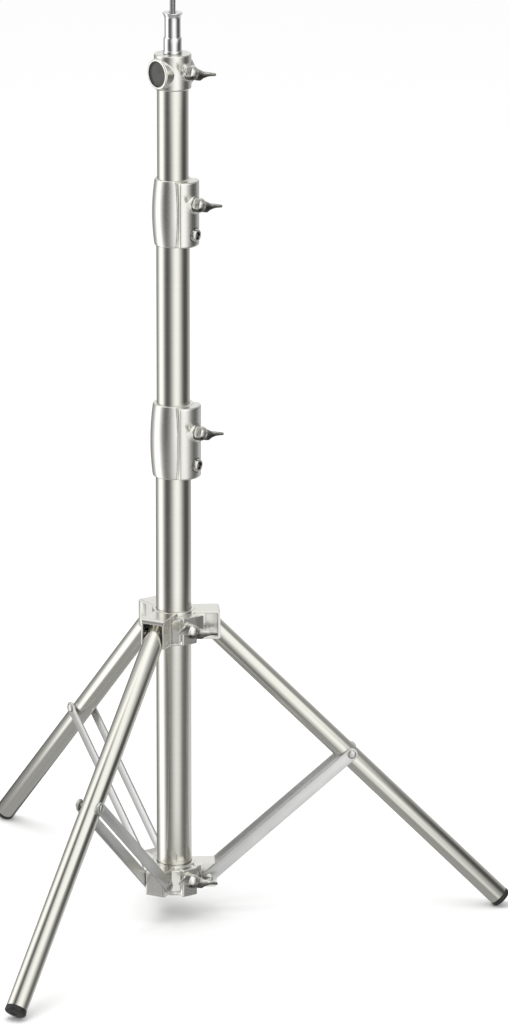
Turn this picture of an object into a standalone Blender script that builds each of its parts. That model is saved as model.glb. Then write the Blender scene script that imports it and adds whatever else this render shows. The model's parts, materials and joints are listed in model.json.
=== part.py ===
"""Tripod light stand: three-section mast, folding legs with paired brace bars,
wing-screw locks, and a head with a lift-out stud.

Units are metres and +Z is up. The origin is the centre of the flat face under the
mast, on the mast's axis. The first leg points along +X and the other two stand at
120 degree steps. Every moving piece hangs on an empty that lies on its joint.
"""

import math

import bmesh
import bpy
from mathutils import Matrix, Vector

# Working gaps
SEAT_GAP = 0.0003
BORE_CLEARANCE = 0.0003
PIN_CLEARANCE = 0.0002

# Facets on round pieces
TUBE_SIDES = 32
LEG_SIDES = 20
BOSS_SIDES = 20
HOLE_SIDES = 12
PIN_SIDES = 10

# Mast tubes
MAST_OUTER_R = 0.0177
MAST_WALL = 0.0007
MIDDLE_TUBE_GAP = 0.0004
MIDDLE_WALL = 0.0006
TOP_TUBE_GAP = 0.0005
TOP_WALL = 0.0006
MAST_TUBE_TOP_Z = 0.4730
MIDDLE_TUBE_BOTTOM_Z = 0.1830
TOP_TUBE_BOTTOM_Z = 0.3030

# Cap that closes the mast
BASE_CAP_FLANGE = 0.0025
BASE_CAP_PLUG = 0.0100

# Nylon bushes on the lower ends of the inner tubes
BUSH_PLUG = 0.0160
BUSH_FLANGE = 0.0080
BUSH_WALL = 0.0035
BUSH_RUNNING_GAP = 0.0002

# Lock collars. Each has a barrel body and a broad upright lobe that carries its screws
COLLAR_EDGE = 0.0008
LOWER_COLLAR_Z = 0.4403
LOWER_COLLAR_HEIGHT = 0.0754
LOWER_COLLAR_END_WALL = 0.0029
LOWER_COLLAR_BELLY_WALL = 0.0053
LOWER_COLLAR_LOBE_R = 0.0210
LOWER_COLLAR_LOBE_FROM_TUBE = 0.0115
LOWER_COLLAR_LOBE_HALF_WIDTH = 0.0170
LOWER_COLLAR_BOLT_RISE = 0.0147
LOWER_COLLAR_WING_RISE = 0.0483
UPPER_COLLAR_Z = 0.6770
UPPER_COLLAR_HEIGHT = 0.0675
UPPER_COLLAR_END_WALL = 0.0017
UPPER_COLLAR_BELLY_WALL = 0.0040
UPPER_COLLAR_LOBE_R = 0.0195
UPPER_COLLAR_LOBE_FROM_TUBE = 0.0108
UPPER_COLLAR_LOBE_HALF_WIDTH = 0.0155
UPPER_COLLAR_BOLT_RISE = 0.0130
UPPER_COLLAR_WING_RISE = 0.0440
MIDDLE_TUBE_SEAT_RISE = 0.0300
COLLAR_AZIMUTH = math.radians(-38.0)
COLLAR_FLANK_LEAN = math.radians(15.0)
COLLAR_BOSS_RISE = 0.0006
COLLAR_LOBE_STEPS = 10

# Button-head bolts that fix each collar to its own tube
FIXING_BOLT_SHANK_R = 0.0040
FIXING_BOLT_HEAD_R = 0.0070
FIXING_BOLT_HEAD_HEIGHT = 0.0050
FIXING_BOLT_SOCKET_R = 0.0042
FIXING_BOLT_SOCKET_DEPTH = 0.0026
FIXING_BOLT_SEAT_DEPTH = 0.0020

# Wing screws and the pads that their tips push against the tubes
WING_STEM_R = 0.0040
WING_HUB_R = 0.0074
WING_HUB_LENGTH = 0.0098
WING_SPAN = 0.0235
WING_SWEEP = 0.0098
WING_ROOT_RISE = 0.0048
WING_ROOT_THICKNESS = 0.0048
WING_TIP_THICKNESS = 0.0016
# Share of the span, height of the blade's middle, and half its height
WING_SHAPE = (
    (0.00, -0.0010, 0.0050),
    (0.22, -0.0020, 0.0062),
    (0.42, -0.0036, 0.0056),
    (0.55, -0.0036, 0.0032),
    (0.75, -0.0034, 0.0018),
    (1.00, -0.0044, 0.0011),
)
WING_BOSS_R = 0.0090
PAD_R = 0.0036
PAD_THICKNESS = 0.0020

# Head casting with its upright stud socket and its side socket
HEAD_BOTTOM_Z = 0.8340
HEAD_HEIGHT = 0.0350
HEAD_WALL = 0.0029
HEAD_EDGE = 0.0012
HEAD_TUBE_SEAT = 0.0100
SIDE_SOCKET_AZIMUTH = math.radians(216.0)
SIDE_SOCKET_RISE = 0.0165
SIDE_SOCKET_R = 0.0154
SIDE_SOCKET_PAST_HEAD = 0.0016
SIDE_SOCKET_BEHIND_HEAD = 0.0001
SIDE_SOCKET_MOUTH_R = 0.0130
SIDE_SOCKET_DEPTH = 0.0036
HEAD_WING_AZIMUTH = math.radians(-42.0)
HEAD_WING_RISE = 0.0185
HEAD_WING_BOSS_RISE = 0.0021
HEAD_WING_BOSS_R = 0.0082
HEAD_PIN_R = 0.0016
HEAD_PIN_RISE = 0.0045
HEAD_PIN_AZIMUTH = math.radians(90.0)

# Stud
STUD_SHANK_R = 0.0079
STUD_SHANK_LENGTH = 0.0210
STUD_FLANGE_R = 0.0096
STUD_FLANGE_HEIGHT = 0.0030
STUD_BODY_R = 0.0089
STUD_BODY_HEIGHT = 0.0120
STUD_NECK_R = 0.0079
STUD_NECK_HEIGHT = 0.0204
STUD_RIM_R = 0.0100
STUD_RIM_HEIGHT = 0.0050
STUD_RIM_EDGE = 0.0008
STUD_SHOULDER = 0.0012
SCREW_R = 0.0031
SCREW_LENGTH = 0.0140
SCREW_DEPTH = 0.0120

# Leg geometry, in the upright plane of each leg
LEG_NAMES = ("right", "rear", "front")
LEG_STEP = math.radians(120.0)
LEG_OPEN_ANGLE = math.radians(44.8)
LEG_PIVOT_FROM_MAST = 0.0203
LEG_PIVOT_Z = 0.2830
LEG_LENGTH = 0.4228
LEG_OUTER_R = 0.0105
LEG_WALL = 0.0010
LEG_ABOVE_PIVOT = 0.0062
BRACE_PIN_ALONG_LEG = 0.1970
BRACE_PIN_OFFSET = 0.0040
BRACE_PIVOT_FROM_MAST = 0.0163
BRACE_PIVOT_Z = 0.0157763

# Leg end plugs
FOOT_FLANGE_R = 0.0107
FOOT_FLANGE = 0.0050
FOOT_EDGE = 0.0009
FOOT_PLUG = 0.0180
FOOT_HOLLOW_R = 0.0060

# Brace bars
BAR_WIDTH = 0.0124
BAR_THICKNESS = 0.0020
BAR_SIDE_GAP = 0.0003
BAR_END_ARC_STEPS = 8
RIVET_R = 0.0025
RIVET_HEAD_R = 0.0045
RIVET_HEAD_HEIGHT = 0.0018
LOWER_PIN_R = 0.0030
LOWER_PIN_HEAD_R = 0.0050
LOWER_PIN_HEAD_HEIGHT = 0.0020

# Crown, which holds the tops of the legs
CROWN_BORE_GAP = 0.0004
CROWN_WALL = 0.0035
CROWN_BOTTOM_Z = 0.2670
CROWN_TOP_Z = 0.3010
CLEVIS_PAST_PIVOT = 0.0085
CLEVIS_CHEEK = 0.0022
CLEVIS_ROOF = 0.0052
CLEVIS_SIDE_GAP = 0.0003
CLEVIS_CORNER_R = 0.0022
CLEVIS_NOSE_R = 0.0030
CLEVIS_BOTTOM_Z = 0.2712
CLEVIS_PANEL_MARGIN = 0.0024
CLEVIS_PANEL_DEPTH = 0.0007
CLEVIS_PANEL_BEHIND_PIVOT = 0.0066
CLEVIS_CAVITY_LENGTH = 0.0171
CROWN_PILLAR_FROM_MAST = 0.0125
CROWN_PILLAR_HALF_WIDTH = 0.0090
CROWN_PILLAR_EDGE = 0.0014
CROWN_PILLAR_BOTTOM_Z = 0.2700
CROWN_PILLAR_TOP_Z = 0.2985
WEB_BEHIND_PILLAR = 0.0032
WEB_LEAN = 0.0011
WEB_BOTTOM_Z = 0.2730
WEB_TOP_Z = 0.2968
CROWN_WING_Z = 0.2850
CROWN_WING_AZIMUTH = math.radians(-60.0)
LEG_PIN_R = 0.0030

# Spreader, which holds the feet of the braces. Its heights are measured from their pivots
SPREADER_WALL = 0.0042
SPREADER_BELOW_PIVOT = 0.0152
SPREADER_ABOVE_PIVOT = 0.0160
SPREADER_LUG_BELOW_PIVOT = 0.0103
SPREADER_LUG_PAST_PIVOT = 0.0090
SPREADER_LUG_NOSE = 0.0165
SPREADER_LUG_WIDTH = 0.0210
SPREADER_LUG_CORNER_R = 0.0030
SPREADER_WING_ABOVE_PIVOT = 0.0032
SPREADER_WEB_BELOW_PIVOT = 0.0090
SPREADER_WEB_BELOW_TOP = 0.0024
SPREADER_PILLAR_BELOW_TOP = 0.0012
SPREADER_PILLAR_ABOVE_BOTTOM = 0.0010

# Values that follow from the sizes above
MAST_INNER_R = MAST_OUTER_R - MAST_WALL
MIDDLE_OUTER_R = MAST_INNER_R - MIDDLE_TUBE_GAP
MIDDLE_INNER_R = MIDDLE_OUTER_R - MIDDLE_WALL
TOP_OUTER_R = MIDDLE_INNER_R - TOP_TUBE_GAP
TOP_INNER_R = TOP_OUTER_R - TOP_WALL
LOWER_COLLAR_END_R = MAST_OUTER_R + LOWER_COLLAR_END_WALL
LOWER_COLLAR_BELLY_R = MAST_OUTER_R + LOWER_COLLAR_BELLY_WALL
LOWER_COLLAR_LOBE_REACH = MAST_OUTER_R + LOWER_COLLAR_LOBE_FROM_TUBE
UPPER_COLLAR_END_R = MIDDLE_OUTER_R + UPPER_COLLAR_END_WALL
UPPER_COLLAR_BELLY_R = MIDDLE_OUTER_R + UPPER_COLLAR_BELLY_WALL
UPPER_COLLAR_LOBE_REACH = MIDDLE_OUTER_R + UPPER_COLLAR_LOBE_FROM_TUBE
HEAD_R = TOP_OUTER_R + HEAD_WALL
HEAD_WING_REACH = HEAD_R + HEAD_WING_BOSS_RISE
SIDE_SOCKET_FRONT = HEAD_R + SIDE_SOCKET_PAST_HEAD
SIDE_SOCKET_BACK = HEAD_R + SIDE_SOCKET_BEHIND_HEAD
LEG_INNER_R = LEG_OUTER_R - LEG_WALL
CROWN_BORE_R = MAST_OUTER_R + CROWN_BORE_GAP
CROWN_RING_R = CROWN_BORE_R + CROWN_WALL
SPREADER_RING_R = CROWN_BORE_R + SPREADER_WALL
CLEVIS_HALF_GAP = LEG_OUTER_R + CLEVIS_SIDE_GAP
CLEVIS_HALF_WIDTH = CLEVIS_HALF_GAP + CLEVIS_CHEEK
BAR_INNER_Y = max(LEG_OUTER_R, SPREADER_LUG_WIDTH / 2) + BAR_SIDE_GAP
BAR_OUTER_Y = BAR_INNER_Y + BAR_THICKNESS
PAD_BORE_R = WING_STEM_R + BORE_CLEARANCE

LEG_PIVOT_RADIUS = MAST_OUTER_R + LEG_PIVOT_FROM_MAST
CLEVIS_REACH = LEG_PIVOT_RADIUS + CLEVIS_PAST_PIVOT
BRACE_PIVOT_RADIUS = MAST_OUTER_R + BRACE_PIVOT_FROM_MAST
SPREADER_LUG_REACH = BRACE_PIVOT_RADIUS + SPREADER_LUG_PAST_PIVOT
BRACKET_WING_REACH = MAST_OUTER_R + CROWN_PILLAR_FROM_MAST
BRACE_PIN_RADIUS = (
    LEG_PIVOT_RADIUS
    + BRACE_PIN_ALONG_LEG * math.sin(LEG_OPEN_ANGLE)
    + BRACE_PIN_OFFSET * math.cos(LEG_OPEN_ANGLE)
)
BRACE_PIN_Z = (
    LEG_PIVOT_Z
    - BRACE_PIN_ALONG_LEG * math.cos(LEG_OPEN_ANGLE)
    + BRACE_PIN_OFFSET * math.sin(LEG_OPEN_ANGLE)
)
BRACE_LENGTH = math.hypot(BRACE_PIN_RADIUS - BRACE_PIVOT_RADIUS, BRACE_PIN_Z - BRACE_PIVOT_Z)
BRACE_OPEN_ANGLE = math.atan2(BRACE_PIN_RADIUS - BRACE_PIVOT_RADIUS, BRACE_PIN_Z - BRACE_PIVOT_Z)
SPREADER_BOTTOM_Z = BRACE_PIVOT_Z - SPREADER_BELOW_PIVOT
SPREADER_TOP_Z = BRACE_PIVOT_Z + SPREADER_ABOVE_PIVOT
SPREADER_LUG_BOTTOM_Z = BRACE_PIVOT_Z - SPREADER_LUG_BELOW_PIVOT
SPREADER_WING_Z = BRACE_PIVOT_Z + SPREADER_WING_ABOVE_PIVOT
HEAD_TOP_Z = HEAD_BOTTOM_Z + HEAD_HEIGHT
TOP_TUBE_TOP_Z = HEAD_BOTTOM_Z + HEAD_TUBE_SEAT
LOWER_COLLAR_STEP_Z = MAST_TUBE_TOP_Z + SEAT_GAP
MIDDLE_TUBE_TOP_Z = UPPER_COLLAR_Z + MIDDLE_TUBE_SEAT_RISE
UPPER_COLLAR_STEP_Z = MIDDLE_TUBE_TOP_Z + SEAT_GAP


def clear_scene():
    for obj in list(bpy.data.objects):
        bpy.data.objects.remove(obj, do_unlink=True)


def make_material(name, colour, metallic, roughness):
    material = bpy.data.materials.new(name)
    material.use_nodes = True
    shader = material.node_tree.nodes["Principled BSDF"]
    shader.inputs["Base Color"].default_value = (*colour, 1.0)
    shader.inputs["Metallic"].default_value = metallic
    shader.inputs["Roughness"].default_value = roughness
    material.diffuse_color = (*colour, 1.0)
    return material


def make_empty(name, location, rotation, parent=None):
    """An empty on a joint's axis. Its pieces are modelled in its own frame."""
    empty = bpy.data.objects.new(name, None)
    empty.empty_display_size = 0.01
    empty.location = location
    empty.rotation_euler = rotation
    bpy.context.scene.collection.objects.link(empty)
    if parent is not None:
        empty.parent = parent
    return empty


def finish(name, bm, parent, kind, matrix=None):
    """Turns a bmesh into an object with outward faces and its own material."""
    bmesh.ops.recalc_face_normals(bm, faces=bm.faces)
    mesh = bpy.data.meshes.new(name)
    bm.to_mesh(mesh)
    bm.free()
    mesh.shade_smooth()
    mesh.set_sharp_from_angle(angle=math.radians(32.0))
    obj = bpy.data.objects.new(name, mesh)
    bpy.context.scene.collection.objects.link(obj)
    if kind is None:
        obj.hide_render = True
        obj.display_type = "WIRE"
    else:
        colour, metallic, roughness = FINISHES[kind]
        mesh.materials.append(make_material(name, colour, metallic, roughness))
    if parent is not None:
        obj.parent = parent
    if matrix is not None:
        obj.matrix_local = matrix
    return obj


def combine(target, helper, operation):
    """Adds a Boolean to the target. The helper stays hidden beside it."""
    helper.parent = target.parent
    modifier = target.modifiers.new(f"{operation.title()} {helper.name}", "BOOLEAN")
    modifier.operation = operation
    modifier.solver = "EXACT"
    modifier.object = helper


def cut(target, helper):
    combine(target, helper, "DIFFERENCE")


def add(target, helper):
    combine(target, helper, "UNION")


def revolve(profile, sides, closed, axis="Z"):
    """Turns a profile of (radius, height) pairs about an axis.

    A closed profile makes a ring. An open one runs from the axis back to the axis.
    """
    bm = bmesh.new()
    rings = []
    for radius, height in profile:
        if radius < 1e-7:
            rings.append([bm.verts.new((0.0, 0.0, height))])
            continue
        ring = []
        for step in range(sides):
            angle = 2.0 * math.pi * step / sides
            ring.append(bm.verts.new((radius * math.cos(angle), radius * math.sin(angle), height)))
        rings.append(ring)
    count = len(rings) if closed else len(rings) - 1
    for index in range(count):
        lower = rings[index]
        upper = rings[(index + 1) % len(rings)]
        for step in range(sides):
            following = (step + 1) % sides
            if len(lower) == 1 and len(upper) == 1:
                continue
            if len(lower) == 1:
                bm.faces.new((lower[0], upper[following], upper[step]))
            elif len(upper) == 1:
                bm.faces.new((lower[step], lower[following], upper[0]))
            else:
                bm.faces.new((lower[step], lower[following], upper[following], upper[step]))
    if axis == "X":
        bmesh.ops.transform(bm, matrix=Matrix.Rotation(math.pi / 2, 4, "Y"), verts=bm.verts)
    elif axis == "Y":
        bmesh.ops.transform(bm, matrix=Matrix.Rotation(-math.pi / 2, 4, "X"), verts=bm.verts)
    return bm


def rod(radius, start, end, sides, axis="Z"):
    """A plain round bar between two stations on an axis."""
    profile = [(0.0, start), (radius, start), (radius, end), (0.0, end)]
    return revolve(profile, sides, False, axis)


def pipe(outer, inner, start, end, sides):
    profile = [(inner, start), (outer, start), (outer, end), (inner, end)]
    return revolve(profile, sides, True)


def slab(outline, low, high, plane="XY"):
    """Extrudes a flat outline. In plane XZ the outline is (x, z) and it grows along Y."""
    bm = bmesh.new()
    corners = []
    for first, second in outline:
        point = (first, second, low) if plane == "XY" else (first, low, second)
        corners.append(bm.verts.new(point))
    face = bm.faces.new(corners)
    grown = bmesh.ops.extrude_face_region(bm, geom=[face])
    moved = [item for item in grown["geom"] if isinstance(item, bmesh.types.BMVert)]
    shift = (0.0, 0.0, high - low) if plane == "XY" else (0.0, high - low, 0.0)
    bmesh.ops.translate(bm, vec=shift, verts=moved)
    return bm


def box(low, high):
    outline = [(low[0], low[1]), (high[0], low[1]), (high[0], high[1]), (low[0], high[1])]
    return slab(outline, low[2], high[2])


def arc(centre, radius, start, end, steps):
    """Points on an arc, for outlines. Angles are in degrees."""
    points = []
    for step in range(steps + 1):
        angle = math.radians(start + (end - start) * step / steps)
        points.append((centre[0] + radius * math.cos(angle), centre[1] + radius * math.sin(angle)))
    return points


def turned(azimuth, height=0.0):
    """A frame on the mast's axis whose X axis points out at an azimuth."""
    return Matrix.Translation((0.0, 0.0, height)) @ Matrix.Rotation(azimuth, 4, "Z")


def helper(name, bm, matrix=None):
    """A hidden solid that is joined to a piece or cut out of it."""
    return finish(name, bm, None, None, matrix)


FINISHES = {
    "steel": ((0.62, 0.61, 0.57), 1.0, 0.24),
    "casting": ((0.60, 0.59, 0.55), 1.0, 0.30),
    "chrome": ((0.75, 0.75, 0.75), 1.0, 0.08),
    "bar": ((0.52, 0.52, 0.51), 1.0, 0.42),
    "black": ((0.02, 0.02, 0.02), 0.0, 0.55),
    "nylon": ((0.70, 0.69, 0.64), 0.0, 0.50),
}


def wing_line(share):
    """Sideways and outward run of a wing's middle, and its thickness, at a share of its span."""
    lateral = WING_SPAN * share
    outward = WING_ROOT_RISE + WING_SWEEP * share ** 1.8
    thickness = WING_ROOT_THICKNESS + (WING_TIP_THICKNESS - WING_ROOT_THICKNESS) * share ** 0.7
    return lateral, outward, thickness


def wing_blade(side):
    """One swept wing: rounded sections along a curve, bridged and closed at both ends.

    The second wing is the first one turned half round, so each hangs the other way.
    """
    bm = bmesh.new()
    loops = []
    for share, middle, half_height in WING_SHAPE:
        lateral, outward, thickness = wing_line(share)
        near = wing_line(max(share - 0.02, 0.0))
        far = wing_line(min(share + 0.02, 1.0))
        run = Vector((far[1] - near[1], far[0] - near[0]))
        run.normalize()
        loop = []
        for across, up in ((-0.5, 0.6), (-0.25, 1.0), (0.25, 1.0), (0.5, 0.6),
                           (0.5, -0.6), (0.25, -1.0), (-0.25, -1.0), (-0.5, -0.6)):
            x = outward + run.y * across * thickness
            y = lateral - run.x * across * thickness
            z = middle + up * half_height
            loop.append(bm.verts.new((x, side * y, side * z)))
        loops.append(loop)
    for lower, upper in zip(loops, loops[1:]):
        for index in range(8):
            following = (index + 1) % 8
            bm.faces.new((lower[index], lower[following], upper[following], upper[index]))
    bm.faces.new(loops[0])
    bm.faces.new(loops[-1])
    return bm


def wing_screw(name, frame, reach, tip):
    """A wing screw on its own joint empty. Its axis is the empty's X axis.

    The empty sits where the hub meets its boss. The stem runs inward to the pad.
    """
    joint = make_empty(f"{name}_joint", (0.0, 0.0, 0.0), (0.0, 0.0, 0.0), frame)
    joint.matrix_local = frame_offset(reach + SEAT_GAP)
    stem = reach + SEAT_GAP - tip
    dome = WING_HUB_R * 0.45
    profile = [
        (0.0, -stem),
        (WING_STEM_R * 0.8, -stem),
        (WING_STEM_R, -stem + WING_STEM_R * 0.2),
        (WING_STEM_R, 0.0),
        (WING_HUB_R, 0.0),
        (WING_HUB_R, WING_HUB_LENGTH - dome),
        (WING_HUB_R * 0.80, WING_HUB_LENGTH - dome * 0.35),
        (WING_HUB_R * 0.42, WING_HUB_LENGTH),
        (0.0, WING_HUB_LENGTH),
    ]
    screw = finish(name, revolve(profile, HOLE_SIDES, False, "X"), joint, "casting")
    add(screw, helper(f"{name}_left_wing", wing_blade(1.0)))
    add(screw, helper(f"{name}_right_wing", wing_blade(-1.0)))
    return screw


def frame_offset(reach):
    return Matrix.Translation((reach, 0.0, 0.0))


def screw_boss(radius, inner, reach):
    """A round cast boss along X, with a soft outer edge."""
    edge = radius * 0.12
    profile = [
        (0.0, inner),
        (radius, inner),
        (radius, reach - edge),
        (radius - edge, reach),
        (0.0, reach),
    ]
    return revolve(profile, BOSS_SIDES, False, "X")


def pad(name, frame, inner):
    """The lock pad between a wing screw's tip and the tube that it holds."""
    return finish(name, rod(PAD_R, inner, inner + PAD_THICKNESS, PIN_SIDES, "X"), frame, "nylon")


def pad_face(tube_radius):
    return tube_radius + SEAT_GAP


def stem_tip(tube_radius):
    return pad_face(tube_radius) + PAD_THICKNESS + SEAT_GAP


def mast_section(root):
    """The outer tube with its end cap."""
    start = BASE_CAP_FLANGE + SEAT_GAP
    bm = pipe(MAST_OUTER_R, MAST_INNER_R, start, MAST_TUBE_TOP_Z, TUBE_SIDES)
    finish("mast_tube", bm, root, "steel")
    plug = MAST_INNER_R - SEAT_GAP
    profile = [
        (0.0, 0.0),
        (MAST_OUTER_R - 0.0008, 0.0),
        (MAST_OUTER_R, 0.0008),
        (MAST_OUTER_R, BASE_CAP_FLANGE),
        (plug, BASE_CAP_FLANGE),
        (plug, BASE_CAP_FLANGE + BASE_CAP_PLUG),
        (plug * 0.8, BASE_CAP_FLANGE + BASE_CAP_PLUG),
        (plug * 0.8, BASE_CAP_FLANGE),
        (0.0, BASE_CAP_FLANGE),
    ]
    finish("mast_base_cap", revolve(profile, TUBE_SIDES, False), root, "black")


def collar_profile(low, height, end_r, belly_r, top_r):
    """The barrel, still solid."""
    high = low + height
    profile = [(0.0, low), (end_r - COLLAR_EDGE, low)]
    stations = 5
    for station in range(stations + 1):
        share = station / stations
        z = low + COLLAR_EDGE + (height - 2 * COLLAR_EDGE) * share
        base = end_r + (top_r - end_r) * share
        swell = belly_r - (end_r + top_r) / 2
        profile.append((base + swell * math.sin(math.pi * share) ** 0.8, z))
    profile += [(top_r - COLLAR_EDGE, high), (0.0, high)]
    return profile


def lobe_outline(radius, reach, half_width):
    """Plan of a collar's lobe: a broad curved front, and flanks that narrow towards the tube."""
    spread = math.degrees(math.asin(half_width / radius))
    front = arc((reach - radius, 0.0), radius, -spread, spread, COLLAR_LOBE_STEPS)
    root = front[-1][0] * 0.6
    root_half = half_width - (front[-1][0] - root) * math.tan(COLLAR_FLANK_LEAN)
    return [(root, -root_half)] + front + [(root, root_half)]


def collar(prefix, root, low, height, end_r, belly_r, bore_tube, slide_tube, step_z,
           lobe_r, lobe_reach, lobe_half_width, bolt_rise, wing_rise):
    """A lock collar with its fixing bolt, lock pad and wing screw."""
    lower_bore = bore_tube + BORE_CLEARANCE
    upper_bore = slide_tube + BORE_CLEARANCE
    top_r = end_r - 0.0004
    profile = collar_profile(low, height, end_r, belly_r, top_r)
    body = finish(prefix, revolve(profile, TUBE_SIDES, False), root, "casting")
    frame = make_empty(f"{prefix}_screw_line", (0.0, 0.0, 0.0), (0.0, 0.0, COLLAR_AZIMUTH), root)

    outline = lobe_outline(lobe_r, lobe_reach, lobe_half_width)
    lobe = slab(outline, low + COLLAR_EDGE, low + height - COLLAR_EDGE)
    add(body, helper(f"{prefix}_lobe", lobe, turned(COLLAR_AZIMUTH)))

    wing_z = low + wing_rise
    bolt_z = low + bolt_rise
    face = lobe_reach + COLLAR_BOSS_RISE
    boss = screw_boss(WING_BOSS_R, slide_tube + 0.002, face)
    add(body, helper(f"{prefix}_boss", boss, turned(COLLAR_AZIMUTH, wing_z)))

    high = low + height
    stepped = [
        (0.0, low - 0.001),
        (lower_bore, low - 0.001),
        (lower_bore, step_z),
        (upper_bore, step_z),
        (upper_bore, high + 0.001),
        (0.0, high + 0.001),
    ]
    cut(body, helper(f"{prefix}_bore", revolve(stepped, TUBE_SIDES, False)))

    screw_hole = rod(PAD_BORE_R, slide_tube - 0.004, face + 0.004, HOLE_SIDES, "X")
    cut(body, helper(f"{prefix}_screw_hole", screw_hole, turned(COLLAR_AZIMUTH, wing_z)))
    bolt_hole = rod(FIXING_BOLT_SHANK_R + BORE_CLEARANCE, bore_tube - 0.004, face, HOLE_SIDES, "X")
    cut(body, helper(f"{prefix}_bolt_hole", bolt_hole, turned(COLLAR_AZIMUTH, bolt_z)))
    seat = lobe_reach - FIXING_BOLT_SEAT_DEPTH
    spot = rod(FIXING_BOLT_HEAD_R + 2 * BORE_CLEARANCE, seat, face + 0.004, BOSS_SIDES, "X")
    cut(body, helper(f"{prefix}_bolt_seat", spot, turned(COLLAR_AZIMUTH, bolt_z)))

    fixing_bolt(f"{prefix}_bolt", frame, bolt_z, seat + SEAT_GAP, bore_tube + SEAT_GAP)
    lock = make_empty(f"{prefix}_lock_line", (0.0, 0.0, wing_z), (0.0, 0.0, 0.0), frame)
    pad(f"{prefix}_pad", lock, pad_face(slide_tube))
    wing_screw(f"{prefix}_wing_screw", lock, face, stem_tip(slide_tube))


def fixing_bolt(name, frame, z, seat, tip):
    """Button-head bolt along X, with a blind driving socket."""
    head = FIXING_BOLT_HEAD_R
    rise = FIXING_BOLT_HEAD_HEIGHT
    profile = [
        (0.0, tip),
        (FIXING_BOLT_SHANK_R - 0.0006, tip),
        (FIXING_BOLT_SHANK_R, tip + 0.0006),
        (FIXING_BOLT_SHANK_R, seat),
        (head, seat),
        (head, seat + rise * 0.25),
        (head * 0.90, seat + rise * 0.62),
        (head * 0.68, seat + rise * 0.90),
        (head * 0.46, seat + rise),
        (0.0, seat + rise),
    ]
    matrix = Matrix.Translation((0.0, 0.0, z))
    bolt = finish(name, revolve(profile, HOLE_SIDES, False, "X"), frame, "chrome", matrix)
    top = seat + rise
    socket = rod(FIXING_BOLT_SOCKET_R, top - FIXING_BOLT_SOCKET_DEPTH, top + 0.001, 6, "X")
    cut(bolt, helper(f"{name}_socket", socket, matrix))


def bush(name, root, tube_bottom, tube_inner, running_r):
    """A nylon guide on a tube's lower end: a plug inside the tube and a running flange."""
    plug = tube_inner - SEAT_GAP
    inner = plug - BUSH_WALL
    flange_top = tube_bottom - SEAT_GAP
    profile = [
        (inner, flange_top - BUSH_FLANGE),
        (running_r - 0.0010, flange_top - BUSH_FLANGE),
        (running_r, flange_top - BUSH_FLANGE + 0.0010),
        (running_r, flange_top),
        (plug, flange_top),
        (plug, flange_top + BUSH_PLUG),
        (inner, flange_top + BUSH_PLUG),
    ]
    finish(name, revolve(profile, TUBE_SIDES, True), root, "nylon")


def middle_section(root):
    bm = pipe(MIDDLE_OUTER_R, MIDDLE_INNER_R, MIDDLE_TUBE_BOTTOM_Z, MIDDLE_TUBE_TOP_Z, TUBE_SIDES)
    finish("middle_tube", bm, root, "steel")
    running = MAST_INNER_R - BUSH_RUNNING_GAP
    bush("middle_tube_bush", root, MIDDLE_TUBE_BOTTOM_Z, MIDDLE_INNER_R, running)


def top_section(root):
    bm = pipe(TOP_OUTER_R, TOP_INNER_R, TOP_TUBE_BOTTOM_Z, TOP_TUBE_TOP_Z, TUBE_SIDES)
    tube = finish("top_tube", bm, root, "steel")
    pin_z = HEAD_BOTTOM_Z + HEAD_PIN_RISE
    hole = rod(HEAD_PIN_R + PIN_CLEARANCE, TOP_INNER_R - 0.002, HEAD_R + 0.002, PIN_SIDES, "X")
    cut(tube, helper("top_tube_pin_hole", hole, turned(HEAD_PIN_AZIMUTH, pin_z)))
    running = MIDDLE_INNER_R - BUSH_RUNNING_GAP
    bush("top_tube_bush", root, TOP_TUBE_BOTTOM_Z, TOP_INNER_R, running)
    head(root, pin_z)


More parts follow.
